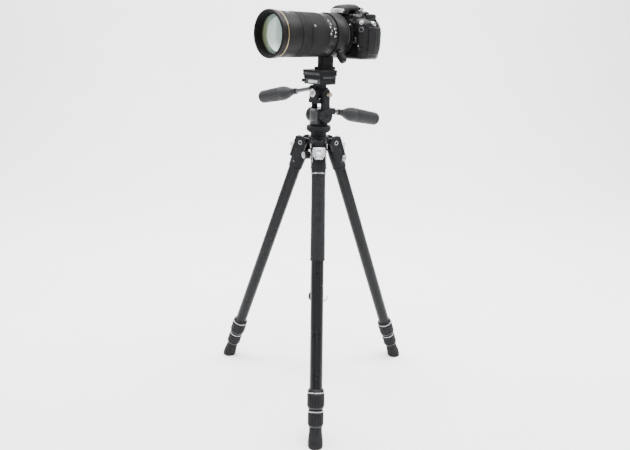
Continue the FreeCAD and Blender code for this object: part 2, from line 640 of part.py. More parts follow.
def popup_flash():
    """The flash head that lies on the prism and overhangs the lens flange."""
    return hipped(
        [V(-44, -23, 883.5), V(-44, 23, 883.5), V(-92, 22, 886.5), V(-92, -22, 886.5)],
        [V(-47, -18, 891), V(-47, 18, 891), V(-90, 17, 897), V(-90, -17, 897)])


def mode_dial():
    """The ribbed dial on the left shoulder, on a short stem let into the body."""
    stem = upright(MODE_DIAL_AT, BODY_TOP - 1.7, BODY_TOP + 2.3, DIAL_STEM_R)
    dial = upright(MODE_DIAL_AT, BODY_TOP + SLIP_GAP, BODY_TOP + 11, DIAL_R)
    return fuse(stem, dial)


def shutter_button():
    return upright(SHUTTER_AT, BODY_TOP - 9, BODY_TOP - 1, SHUTTER_R)


def command_dial():
    return upright(COMMAND_DIAL_AT, COMMAND_DIAL_LOW, COMMAND_DIAL_TOP, DIAL_R)


def terminal_cover():
    """The rubber flap that closes the sockets on the left end."""
    low, high = TERMINAL_COVER_X
    bottom, top = TERMINAL_COVER_Z
    return box(low, high, BODY_LEFT - 2.2, BODY_LEFT + 1.2, bottom, top)


def battery_door():
    return box(-112, -64, -74, -46, BODY_BOTTOM, BODY_BOTTOM + 2.2)


def card_door():
    return box(-110, -76, BODY_RIGHT - 0.6, BODY_RIGHT + 2.2, 800, 850)


def main():
    os.makedirs("parts", exist_ok=True)
    for name, heading in LEG_HEADINGS.items():
        make_leg(name, heading)
    save("front_leg_grip", swing_out(grip_sleeve(), LEG_HEADINGS["front"]))
    save("leg_hinge_pins", hinge_pins())
    save("spider", spider())
    save("column_lock_knob", column_lock_knob())
    save("centre_column", centre_column())
    save("column_top_plate", column_top_plate())
    save("column_end_cap", column_end_cap())
    save("ballast_hook", ballast_hook())
    save("head_base", head_base())

    tilt_rod, tilt_grip = handle(TILT_HANDLE_BASE, -X_AXIS, TILT_ROD_LENGTH, TILT_GRIP_LENGTH, TILT_GRIP_R)
    side_rod, side_grip = handle(SIDE_HANDLE_BASE, -Y_AXIS, SIDE_ROD_LENGTH, SIDE_GRIP_LENGTH, SIDE_GRIP_R)
    on_head = {
        "pan_body": pan_body(),
        "tilt_body": tilt_body(),
        "side_tilt_cap": side_tilt_cap(),
        "friction_knob": friction_knob(),
        "top_body": top_body(),
        "clamp_lever": clamp_lever(),
        "quick_release_plate": quick_release_plate(),
        "plate_screw": plate_screw(),
        "tilt_handle_rod": tilt_rod,
        "tilt_handle_grip": tilt_grip,
        "side_handle_rod": side_rod,
        "side_handle_grip": side_grip,
        "lens_barrel": lens_barrel(),
        "zoom_ring": sleeve(19.2, 64.8, 44.6, 41.5 + RUN_FIT),
        "focus_ring": sleeve(65.4, 91.4, 44.6, 41.5 + RUN_FIT),
        "lens_front_ring": front_ring(),
        "front_glass": front_glass(),
        "lens_collar": lens_collar(),
        "collar_knob": collar_knob(),
        "camera_body": camera_body(),
        "popup_flash": popup_flash(),
        "mode_dial": mode_dial(),
        "shutter_button": shutter_button(),
        "command_dial": command_dial(),
        "terminal_cover": terminal_cover(),
        "battery_door": battery_door(),
        "card_door": card_door(),
    }
    for name, shape in on_head.items():
        save_on_head(name, shape)


main()
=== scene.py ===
import json
import math
import bpy
import bmesh
from mathutils import Matrix, Vector


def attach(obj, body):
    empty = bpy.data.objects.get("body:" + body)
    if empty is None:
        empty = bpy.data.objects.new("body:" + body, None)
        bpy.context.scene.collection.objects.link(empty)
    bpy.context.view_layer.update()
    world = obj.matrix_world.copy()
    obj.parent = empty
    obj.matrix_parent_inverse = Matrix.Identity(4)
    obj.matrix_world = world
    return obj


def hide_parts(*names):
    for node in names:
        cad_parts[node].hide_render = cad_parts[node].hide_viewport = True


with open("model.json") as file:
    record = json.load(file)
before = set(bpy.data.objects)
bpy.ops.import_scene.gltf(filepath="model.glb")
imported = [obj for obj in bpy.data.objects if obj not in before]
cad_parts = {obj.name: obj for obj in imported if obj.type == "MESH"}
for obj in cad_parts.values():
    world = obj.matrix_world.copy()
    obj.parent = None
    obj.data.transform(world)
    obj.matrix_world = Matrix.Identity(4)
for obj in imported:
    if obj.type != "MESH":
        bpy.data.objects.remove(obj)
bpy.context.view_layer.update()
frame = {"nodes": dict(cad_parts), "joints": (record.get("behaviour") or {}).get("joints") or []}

# Camera with a long lens on a three-way head and a tripod. Each piece is made in millimetres in a
# local frame (a leg, the tripod's axis, the head or the lens) and placed from the record's joints.

NODES = frame["nodes"]
JOINTS = {joint["name"]: joint for joint in frame["joints"]}
MM = 0.001
TAU = 2 * math.pi
SIDES = ((-1, "a"), (1, "b"))

# ---- places --------------------------------------------------------------------------------------


def joint_point(name):
    return Vector(JOINTS[name]["pos_m"])


def joint_axis(name):
    return Vector(JOINTS[name]["axis"]).normalized()


def frame_matrix(origin, x_axis, y_axis, z_axis):
    """A matrix that takes millimetres in a local frame to metres in the row frame."""
    turn = Matrix((x_axis, y_axis, z_axis)).transposed().to_4x4()
    return Matrix.Translation(origin) @ turn @ Matrix.Scale(MM, 4)


def along(place, origin, axis):
    """A frame inside another one, with its +Z along an axis, both given in the outer frame's millimetres."""
    z = Vector(axis).normalized()
    helper = Vector((0, 0, 1)) if abs(z.z) < 0.9 else Vector((1, 0, 0))
    x = helper.cross(z).normalized()
    y = z.cross(x)
    turn = Matrix((x, y, z)).transposed().to_4x4()
    return place @ Matrix.Translation(Vector(origin)) @ turn


def raised(place, height):
    """The place further along its +Z, with the side axes that along() chooses."""
    return along(place, (0, 0, height), Z_UP)


Z_UP = Vector((0, 0, 1))
AXIS_POINT = Vector((joint_point("pan_turn").x, joint_point("pan_turn").y, 0))
LENS_WAY = joint_axis("lens_roll")
LEFT_WAY = joint_axis("front_tilt")
TRIPOD = frame_matrix(AXIS_POINT, Vector((1, 0, 0)), Vector((0, 1, 0)), Z_UP)
HEAD = frame_matrix(AXIS_POINT, LENS_WAY, LEFT_WAY, Z_UP)
LENS_HEIGHT = joint_point("lens_roll").z / MM
TILT_HEIGHT = joint_point("front_tilt").z / MM
SIDE_HEIGHT = joint_point("side_tilt").z / MM
LENS = along(HEAD, (0, 0, LENS_HEIGHT), (1, 0, 0))
LEG_NAMES = ("front", "left", "right")


def leg_place(leg):
    """+Z runs down the leg from its pivot, +X points out of the leg's front."""
    down = joint_axis(leg + "_leg_middle_extend")
    out = joint_axis(leg + "_leg_angle_release")
    return frame_matrix(joint_point(leg + "_leg_fold"), out, down.cross(out), down)


LEG_PLACES = {leg: leg_place(leg) for leg in LEG_NAMES}

# ---- materials -----------------------------------------------------------------------------------


class Look:
    """A material under construction: a Principled shader and short calls for the nodes around it."""

    def __init__(self, name, color, roughness, metallic=0.0):
        self.material = bpy.data.materials.new(name)
        self.material.use_nodes = True
        self.tree = self.material.node_tree
        self.shader = self.tree.nodes["Principled BSDF"]
        self.shader.inputs["Base Color"].default_value = (*color, 1)
        self.shader.inputs["Roughness"].default_value = roughness
        self.shader.inputs["Metallic"].default_value = metallic
        self.shader.inputs["Specular IOR Level"].default_value = 0.5 if metallic else 0.1
        self.color = color
        self.roughness = roughness
        self.height = None

    def node(self, kind, **settings):
        made = self.tree.nodes.new(kind)
        for key, value in settings.items():
            if hasattr(made, key):
                setattr(made, key, value)
            else:
                made.inputs[key.replace("_", " ")].default_value = value
        return made

    def link(self, source, target):
        self.tree.links.new(source, target)

    def coordinates(self, scale=(1, 1, 1)):
        source = self.node("ShaderNodeTexCoord")
        mapping = self.node("ShaderNodeMapping")
        mapping.inputs["Scale"].default_value = scale
        self.link(source.outputs["Object"], mapping.inputs["Vector"])
        return mapping.outputs["Vector"]

    def noise(self, size_mm, detail=3.0, coordinates=None, distortion=0.0):
        noise = self.node("ShaderNodeTexNoise", Scale=1.0 / (size_mm * MM), Detail=detail,
            Distortion=distortion)
        self.link(coordinates or self.coordinates(), noise.inputs["Vector"])
        return noise.outputs["Fac"]

    def span(self, source, low, high, from_low=0.0, from_high=1.0):
        ranged = self.node("ShaderNodeMapRange")
        ranged.inputs["From Min"].default_value = from_low
        ranged.inputs["From Max"].default_value = from_high
        ranged.inputs["To Min"].default_value = low
        ranged.inputs["To Max"].default_value = high
        self.link(source, ranged.inputs["Value"])
        return ranged.outputs["Result"]

    def mix(self, factor, first, second):
        mixed = self.node("ShaderNodeMix", data_type="RGBA")
        self.link(factor, mixed.inputs["Factor"])
        for socket, value in ((mixed.inputs[6], first), (mixed.inputs[7], second)):
            socket.default_value = (*value, 1)
        self.link(mixed.outputs[2], self.shader.inputs["Base Color"])

    def bump(self, height, depth_mm, strength=1.0):
        """Adds a bump on top of any earlier one."""
        bump = self.node("ShaderNodeBump", Strength=strength, Distance=depth_mm * MM)
        self.link(height, bump.inputs["Height"])
        if self.height:
            self.link(self.height, bump.inputs["Normal"])
        self.height = bump.outputs["Normal"]
        self.link(self.height, self.shader.inputs["Normal"])

    def mottle(self, amount=0.35, size_mm=14.0):
        """Slight unevenness of colour and gloss, as handling and dust leave."""
        cloud = self.noise(size_mm, 5.0)
        darker = tuple(c * (1 - amount) for c in self.color)
        lighter = tuple(min(1.0, c * (1 + amount)) for c in self.color)
        self.mix(self.span(cloud, 0, 1, 0.3, 0.7), darker, lighter)
        spread = 0.09
        gloss = self.span(cloud, max(0.03, self.roughness - spread), self.roughness + spread, 0.3, 0.7)
        self.link(gloss, self.shader.inputs["Roughness"])
        return self


def powder_coat(name, color=(0.009, 0.0093, 0.0102), roughness=0.4):
    look = Look(name, color, roughness).mottle(0.2, 20)
    look.bump(look.noise(0.45, 2.0), 0.05, 0.5)
    look.bump(look.noise(2.2, 2.0), 0.05, 0.25)
    return look.material


def leg_tube():
    """Satin dark grey tube with a fine twill under the clear coat."""
    look = Look("leg_tube_satin", (0.0045, 0.0046, 0.0052), 0.3)
    look.shader.inputs["Specular IOR Level"].default_value = 0.14
    look.mottle(0.06, 60)
    weave = look.node("ShaderNodeTexWave", Scale=1.0 / (9.0 * MM), Distortion=0.0)
    weave.bands_direction = "DIAGONAL"
    look.link(look.coordinates(), weave.inputs["Vector"])
    look.bump(weave.outputs["Fac"], 0.02, 0.35)
    look.bump(look.noise(0.6, 2.0), 0.02, 0.3)
    look.shader.inputs["Coat Weight"].default_value = 0.03
    look.shader.inputs["Coat Roughness"].default_value = 0.22
    return look.material


def rubber(name, color=(0.032, 0.032, 0.034), roughness=0.62, grain=0.5, depth=0.06):
    look = Look(name, color, roughness).mottle(0.25, 9)
    look.bump(look.noise(grain, 3.0), depth, 0.6)
    look.shader.inputs["Sheen Weight"].default_value = 0.01
    look.shader.inputs["Sheen Roughness"].default_value = 0.5
    return look.material


def leathered(name, color=(0.008, 0.008, 0.0084)):
    """Rubber with a leather grain: small raised cells."""
    look = Look(name, color, 0.46).mottle(0.3, 8)
    cells = look.node("ShaderNodeTexVoronoi", Scale=1.0 / (1.1 * MM), Randomness=1.0)
    cells.feature = "DISTANCE_TO_EDGE"
    look.link(look.coordinates(), cells.inputs["Vector"])
    look.bump(look.span(cells.outputs["Distance"], 0, 1, 0.0, 0.12), 0.12, 0.8)
    look.bump(look.noise(0.35, 2.0), 0.03, 0.5)
    return look.material


def satin_metal(name, color=(0.74, 0.74, 0.75), roughness=0.3, size_mm=0.35):
    """Turned or brushed bright metal, with fine lines and faint smudges."""
    look = Look(name, color, roughness, 1.0)
    lines = look.noise(size_mm, 4.0, look.coordinates((1, 1, 14)))
    look.link(look.span(lines, roughness - 0.1, roughness + 0.14, 0.3, 0.7), look.shader.inputs["Roughness"])
    smudge = look.noise(9, 4.0)
    darker = tuple(c * 0.82 for c in color)
    look.mix(look.span(smudge, 0, 1, 0.35, 0.7), darker, color)
    look.bump(lines, 0.012, 0.35)
    return look.material


def moulded(name, color=(0.02, 0.02, 0.021), roughness=0.42, grain=0.3, depth=0.035):
    """Fine-grained moulded or crackle-painted casing."""
    look = Look(name, color, roughness).mottle(0.3, 16)
    look.bump(look.noise(grain, 2.0), depth, 0.6)
    return look.material


def glossed(name, color, roughness=0.16, grain=0.8, depth=0.01):
    """Polished casing plastic."""
    look = Look(name, color, roughness).mottle(0.3, 16)
    look.bump(look.noise(grain, 2.0), depth, 0.6)
    look.shader.inputs["Specular IOR Level"].default_value = 0.5
    return look.material


def printed(name, color):
    look = Look(name, color, 0.5)
    look.mottle(0.06, 2)
    return look.material


def coated_glass(name):
    """A strongly coated element with painted reflections. Its tint shifts by position across the face, from
    the lens's right side to its left: pale bands of painted highlight and a dark end of painted shade over
    the coating's own green tint.
    """
    look = Look(name, (0.6, 0.68, 0.62), 0.07, 0.55)
    shader = look.shader
    across = look.node("ShaderNodeVectorMath")
    across.operation = "DOT_PRODUCT"
    look.link(look.node("ShaderNodeTexCoord").outputs["Object"], across.inputs[0])
    across.inputs[1].default_value = LEFT_WAY
    middle = AXIS_POINT.dot(LEFT_WAY)
    place = look.span(across.outputs["Value"], 0, 1, middle - 0.039, middle + 0.039)
    ramp = look.node("ShaderNodeValToRGB")
    look.link(place, ramp.inputs["Fac"])
    # painted reflection bands: the pale mint and near-white stops are painted highlight, the dark teal end is
    # painted shade
    bands = ((0.0, (0.42, 0.5, 0.25)), (0.24, (0.62, 0.74, 0.46)), (0.3, (0.72, 0.9, 0.76)), (0.6,
        (0.8, 0.98, 0.89)), (0.68, (0.55, 0.68, 0.6)), (0.88, (0.4, 0.55, 0.54)), (1.0, (0.12, 0.2, 0.22)))
    stops = ramp.color_ramp.elements
    stops[0].position, stops[0].color = bands[0][0], (*bands[0][1], 1)
    stops[1].position, stops[1].color = bands[-1][0], (*bands[-1][1], 1)
    for position, color in bands[1:-1]:
        stops.new(position).color = (*color, 1)
    look.link(ramp.outputs["Color"], shader.inputs["Base Color"])
    shader.inputs["Transmission Weight"].default_value = 0.5
    shader.inputs["IOR"].default_value = 1.6
    shader.inputs["Coat Weight"].default_value = 1.0
    shader.inputs["Coat Roughness"].default_value = 0.02
    dust = look.noise(3.0, 6.0)
    look.link(look.span(dust, 0.05, 0.11, 0.55, 0.8), shader.inputs["Roughness"])
    return look.material


def coated_mirror(name, tint):
    """An inner element seen as its coating: dark glass with a tinted reflection."""
    look = Look(name, tuple(c * 0.5 for c in tint), 0.06, 1.0)
    dust = look.noise(6.0, 5.0)
    look.mix(look.span(dust, 0, 1, 0.4, 0.8), tuple(c * 0.5 for c in tint), tuple(c * 0.62 for c in tint))
    return look.material


def screen_glass():
    look = Look("rear_screen_glass", (0.006, 0.007, 0.009), 0.07)
    smudge = look.noise(18, 5.0, distortion=0.6)
    look.link(look.span(smudge, 0.05, 0.22, 0.45, 0.75), look.shader.inputs["Roughness"])
    look.mix(look.span(smudge, 0, 1, 0.3, 0.8), (0.005, 0.006, 0.008), (0.012, 0.013, 0.016))
    return look.material


MATERIALS = {
    "cast": powder_coat("cast_black_coat"),
    "cast_dark": powder_coat("cast_deep_black", (0.006, 0.006, 0.0065), 0.5),
    "gunmetal": glossed("gunmetal_coat", (0.016, 0.017, 0.018), 0.34, 0.45, 0.03),
    "label": powder_coat("label_grey", (0.42, 0.43, 0.44), 0.4),
    "tube": leg_tube(),
    "lock": rubber("twist_lock_rubber", (0.011, 0.011, 0.012), 0.52),
    "foot": rubber("foot_rubber", (0.011, 0.011, 0.0115), 0.66, 0.7, 0.09),
    "grip": rubber("handle_rubber", (0.021, 0.0214, 0.0225), 0.46, 0.6, 0.05),
    "sleeve": rubber("sleeve_foam", (0.012, 0.0123, 0.0135), 0.5, 0.8, 0.08),
    "silver": satin_metal("satin_silver"),
    "steel": satin_metal("bright_steel", (0.62, 0.62, 0.64), 0.26),
    "dark_steel": satin_metal("dark_steel", (0.09, 0.09, 0.095), 0.28),
    "ring_steel": satin_metal("ring_steel", (0.3, 0.3, 0.31), 0.2),
    "dull_steel": satin_metal("dull_steel", (0.36, 0.36, 0.37), 0.36),
    # painted highlight: a light grey gloss for the flash's front plate, standing for the bright reflection on
    # the black flash
    "flash_painted_highlight": glossed("flash_painted_highlight", (0.34, 0.34, 0.35), 0.2, 0.8, 0.01),
    "helmet": moulded("flash_helmet_casing", (0.0045, 0.0045, 0.0048), 0.55, 0.35, 0.035),
    "chrome": satin_metal("chrome_flange", (0.82, 0.82, 0.83), 0.16),
    "brass": satin_metal("aged_brass", (0.4, 0.34, 0.24), 0.34),
    "gold": satin_metal("gold_line", (0.5, 0.4, 0.22), 0.34),
    "plastic": moulded("knob_plastic", (0.012, 0.012, 0.0125), 0.38),
    "lens": moulded("lens_paint", (0.007, 0.0064, 0.0062), 0.47, 0.4, 0.05),
    "rim": moulded("rim_satin", (0.005, 0.0042, 0.004), 0.36, 0.8, 0.01),
    "lens_inner": moulded("lens_inner_black", (0.004, 0.004, 0.004), 0.7, 1.2, 0.1),
    "lens_rubber": rubber("lens_rubber", (0.007, 0.0065, 0.0062), 0.6),
    "camera": moulded("camera_casing", (0.005, 0.005, 0.0054), 0.3, 0.35, 0.035),
    "camera_gloss": glossed("camera_gloss", (0.005, 0.005, 0.0054), 0.16, 0.8, 0.01),
    "leather": leathered("camera_leather"),
    "white": printed("printed_white", (0.8, 0.8, 0.78)),
    "screen": screen_glass(),
    "glass": coated_glass("front_element_coating_and_painted_reflection"),
    "inner_green": coated_mirror("inner_coating_green", (0.28, 0.42, 0.3)),
    "inner_teal": coated_mirror("inner_coating_teal", (0.1, 0.24, 0.25)),
}

# ---- mesh tools ----------------------------------------------------------------------------------


def finish_mesh(name, bm, place, material, crease=33.0):
    """Makes an object of a bmesh at its place, smooth except at edges sharper than crease degrees."""
    bmesh.ops.remove_doubles(bm, verts=bm.verts, dist=1e-5)
    bmesh.ops.dissolve_degenerate(bm, edges=bm.edges, dist=1e-6)
    bmesh.ops.recalc_face_normals(bm, faces=bm.faces)
    limit = math.radians(crease)
    for face in bm.faces:
        face.smooth = True
    for edge in bm.edges:
        if len(edge.link_faces) == 2 and edge.calc_face_angle(0.0) > limit:
            edge.smooth = False
    mesh = bpy.data.meshes.new(name)
    bm.to_mesh(mesh)
    bm.free()
    mesh.transform(place)
    obj = bpy.data.objects.new(name, mesh)
    bpy.context.scene.collection.objects.link(obj)
    mesh.materials.append(MATERIALS[material])
    return obj


def settle(obj, body, *replaced, slot=None):
    """Rides on a body and stands for the CAD nodes named. slot is not used."""
    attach(obj, body)
    if replaced:
        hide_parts(*replaced)
    return obj


def lathe(name, place, outline, material, steps=96, ribs=None, crease=33.0):
    """A turned piece about +Z from a list of (station, radius). An open outline ends on the axis, or is left
    open; a closed outline repeats its first point. ribs is (count, depth, low, high, shape): between two
    stations the radius drops by depth in grooves."""
    bm = bmesh.new()
    rows = []
    for station, radius in outline:
        row = []
        if radius < 1e-6:
            row = [bm.verts.new((0, 0, station))] * steps
        else:
            for step in range(steps):
                angle = TAU * step / steps
                r = radius
                if ribs and ribs[2] - 1e-6 <= station <= ribs[3] + 1e-6:
                    r -= ribs[1] * ribs[4](angle * ribs[0] / TAU % 1.0)
                row.append(bm.verts.new((r * math.cos(angle), r * math.sin(angle), station)))
        rows.append(row)
    if outline[0] == outline[-1]:
        for vert in set(rows[-1]):
            bm.verts.remove(vert)
        rows[-1] = rows[0]
    for low, high in zip(rows, rows[1:]):
        for step in range(steps):
            after = (step + 1) % steps
            corners = []
            for vert in (low[step], low[after], high[after], high[step]):
                if vert not in corners:
                    corners.append(vert)
            if len(corners) > 2:
                bm.faces.new(corners)
    return finish_mesh(name, bm, place, material, crease)


def shifted(base, outline):
    """An outline whose stations are given from a base station."""
    return [(base + station, radius) for station, radius in outline]


def groove(width):
    """A rib shape with narrow grooves: 1 inside the groove, 0 on the land."""
    return lambda phase: 1.0 if phase < width else 0.0


def wave(phase):
    return 0.5 - 0.5 * math.cos(TAU * phase)


def slab(name, place, size, material, bevel=0.5, segments=2):
    """A bevelled block: size is (x0, x1, y0, y1, z0, z1)."""
    x0, x1, y0, y1, z0, z1 = size
    bm = bmesh.new()
    low, high = ([bm.verts.new((x, y, z)) for x, y in ((x0, y0), (x1, y0), (x1, y1),
        (x0, y1))] for z in (z0, z1))
    bm.faces.new(low[::-1])
    bm.faces.new(high)
    for i in range(4):
        j = (i + 1) % 4
        bm.faces.new((low[i], low[j], high[j], high[i]))
    if bevel:
        bmesh.ops.bevel(bm, geom=list(bm.edges), offset=bevel, segments=segments, profile=0.6, affect="EDGES")
    return finish_mesh(name, bm, place, material)


def loft(name, place, rings, material, cap_high=True, crease=40.0):
    """A skin through rings of points, each with the same count."""
    bm = bmesh.new()
    rows = [[bm.verts.new(point) for point in ring] for ring in rings]
    count = len(rows[0])
    for low, high in zip(rows, rows[1:]):
        for i in range(count):
            j = (i + 1) % count
            bm.faces.new((low[i], low[j], high[j], high[i]))
    bm.faces.new(rows[0][::-1])
    if cap_high:
        bm.faces.new(rows[-1])
    return finish_mesh(name, bm, place, material, crease)


def repaint(node, material, bevel=0.35):
    """A CAD node that stays: a finished material, and softened edges."""
    obj = NODES[node]
    for i in range(len(obj.material_slots)):
        obj.material_slots[i].material = MATERIALS[material]
    weld = obj.modifiers.new("weld", "WELD")
    weld.merge_threshold = 1e-5
    if bevel:
        soften = obj.modifiers.new("soften", "BEVEL")
        soften.width = bevel * MM
        soften.segments = 2
        soften.limit_method = "ANGLE"
        soften.angle_limit = math.radians(38)
        soften.harden_normals = True
        soften.use_clamp_overlap = True
    return obj


def ribbed(name, place, low, high, radius, inner, material, count, depth, width=0.3, edge=1.2, land=2.0,
        fine=8, shape=None):
    """A sleeve with grooves along it, and a plain land at each end. Chamfered ends, hollow inside."""
    a, b = low + land, high - land
    outline = [(low, inner), (low, radius - edge), (low + edge * 0.4, radius - edge * 0.35),
        (low + edge, radius), (a - 0.25, radius), (a, radius), (a + 0.5, radius), (b - 0.5, radius),
        (b, radius), (b + 0.25, radius), (high - edge, radius), (high - edge * 0.4, radius - edge * 0.35),
        (high, radius - edge), (high, inner), (low, inner)]
    ribs = (count, depth, a + 0.4, b - 0.4, shape or groove(width))
    return lathe(name, place, outline, material, steps=count * fine, ribs=ribs)


def tube(name, place, low, high, outer, inner, material, steps=96, edge=0.3):
    outline = [(low, inner), (low, outer - edge), (low + edge, outer), (high - edge, outer),
        (high, outer - edge), (high, inner), (low, inner)]
    return lathe(name, place, outline, material, steps)


def disc_head(name, place, radius, thick, material, dome=0.3, steps=48):
    """A short round cap from 0 to thick along +Z with a rounded edge and a slight dome."""
    e = min(thick * 0.4, radius * 0.2)
    outline = [(0, 0), (0, radius), (thick - e, radius), (thick - e * 0.3, radius - e * 0.3),
        (thick, radius - e), (thick + dome * 0.7, radius * 0.5), (thick + dome, 0)]
    return lathe(name, place, outline, material, steps, crease=45)


def socket_screw(name, place, radius, thick):
    """A cap screw with a hexagonal socket, standing from 0 to thick along +Z."""
    bm = bmesh.new()
    hex_r = radius * 0.55
    steps = 48
    depth = thick * 0.75

    def ring_of(r, z, hexed=False):
        verts = []
        for step in range(steps):
            angle = TAU * step / steps
            k = r
            if hexed:
                side = (angle % (TAU / 6)) - TAU / 12
                k = r * math.cos(TAU / 12) / math.cos(side)
            verts.append(bm.verts.new((k * math.cos(angle), k * math.sin(angle), z)))
        return verts

    e = radius * 0.14
    rows = [ring_of(radius, 0), ring_of(radius, thick - e), ring_of(radius - e, thick),
        ring_of(hex_r * 1.06, thick, True), ring_of(hex_r, thick - e * 0.6, True),
        ring_of(hex_r, thick - depth, True)]
    for low, high in zip(rows, rows[1:]):
        for i in range(steps):
            j = (i + 1) % steps
            bm.faces.new((low[i], low[j], high[j], high[i]))
    bm.faces.new(rows[-1])
    bm.faces.new(rows[0][::-1])
    return finish_mesh(name, bm, place, "dark_steel")


def cross_screw(name, place, radius):
    """A small flush screw standing 0.35 mm proud along +Z. Its crossed recess is not cut: two deepest-black
    bars on the head paint the recess's shade.
    """
    made = disc_head(name, place, radius, 0.25, "dark_steel", 0.12, 32)
    cuts = []
    for turn in (0, TAU / 4):
        cut_place = place @ Matrix.Rotation(turn, 4, "Z")
        w = radius * 0.62
        cuts.append(slab(name + "_painted_shade_slot", cut_place, (-w, w, -radius * 0.12, radius * 0.12, 0.36, 0.40),
            "cast_dark", 0))
    return join(made, cuts)


def join(first, others):
    """Makes one object of several, keeping each one's material."""
    for other in others:
        base = len(first.data.materials)
        names = [m.name for m in first.data.materials]
        bm = bmesh.new()
        bm.from_mesh(first.data)
        extra = other.data.materials[0]
        if extra.name in names:
            index = names.index(extra.name)
        else:
            first.data.materials.append(extra)
            index = base
        start = len(bm.faces)
        bm.from_mesh(other.data)
        bm.faces.ensure_lookup_table()
        for face in bm.faces[start:]:
            face.material_index = index
        bm.to_mesh(first.data)
        bm.free()
        bpy.data.objects.remove(other)
    return first


def cut_below_floor(obj):
    """Cuts a piece flat where it stands on the floor."""
    bm = bmesh.new()
    bm.from_mesh(obj.data)
    whole = list(bm.verts) + list(bm.edges) + list(bm.faces)
    cut = bmesh.ops.bisect_plane(bm, geom=whole, plane_co=(0, 0, 0), plane_no=(0, 0, -1), clear_outer=True)
    rim = [item for item in cut["geom_cut"] if isinstance(item, bmesh.types.BMEdge)]
    bmesh.ops.edgeloop_fill(bm, edges=rim)
    for edge in rim:
        edge.smooth = False
    bm.to_mesh(obj.data)
    bm.free()
    return obj


# ---- legs ----------------------------------------------------------------------------------------
# Stations are millimetres down the leg from its pivot.

UPPER_R, MIDDLE_R, LOWER_R = 13.8, 12.2, 10.6
TUBE_WALL = 1.2
BORE_GAP = 0.1
UPPER_LOCK = (520.0, 561.8, 18.5)
LOWER_LOCK = (562.4, 600.0, 16.8)
FOOT_TOP = 600.4
FOOT_TIP = 647.7
CASTING_R = 16.8
CASTING_END = 64.0
LUG_END_R = 9.0


def twist_lock(leg, which, start, end, radius, bore_top, bore_low, body, neck=6.0):
    """A chamfered collar, a bright ring, a ribbed rubber body and a thin grey end ring."""
    place = LEG_PLACES[leg]
    name = f"{leg}_{which}_lock"
    node = f"{leg}_leg_{which}_twist_lock"
    bore, low_bore = bore_top + BORE_GAP, bore_low + BORE_GAP
    collar_end, ring_end, tail = start + neck, start + neck + 3.2, end - 3.0
    collar = lathe(name + "_collar", place, [(start, bore), (start, radius - 4.0),
        (start + 0.5, radius - 3.2), (start + neck * 0.57, radius - 1.2), (collar_end, radius - 0.7),
        (collar_end, bore), (start, bore)], "plastic", 96)
    band = tube(name + "_bright_ring", place, collar_end, ring_end, radius - 0.35, bore,
        "ring_steel", 96, 0.7)
    body_piece = ribbed(name + "_ribs", place, ring_end, tail, radius + 0.1, bore, "lock", 20, 1.15,
        width=0.26, edge=2.4, land=2.9, fine=12)
    end_ring = lathe(name + "_end_ring", place, [(tail, low_bore), (tail, radius - 1.3),
        (end - 1.0, radius - 1.6), (end, radius - 2.8), (end, low_bore), (tail, low_bore)],
        "gunmetal", 96)
    for piece, slot in ((collar, "knob_plastic"), (band, "silver"), (body_piece, "lock_rubber"),
            (end_ring, "knob_plastic")):
        settle(piece, body, node, slot=slot)


def foot(leg):
    place = LEG_PLACES[leg]
    r = 15.9
    outline = shifted(FOOT_TOP, [(0, LOWER_R), (0, 12.9), (0.7, 13.6), (8, 13.9), (8.4, 13.4), (9.4, 13.4),
        (9.8, 14.0), (16, 14.5), (20, 15.0), (24, 15.5), (28, 15.8), (30, r), (31.2, r), (31.6, r - 0.6),
        (32.4, r - 0.6), (32.8, r)])
    outline += shifted(FOOT_TIP, [(-8, r), (-5.5, 15.3), (-3.5, 14.3), (-1.6, 12.2), (0, 8.0), (0, 0)])
    settle(cut_below_floor(lathe(leg + "_foot", place, outline, "foot", 120, crease=24)), leg + "_leg_lower",
        leg + "_leg_foot", slot="foot_rubber")


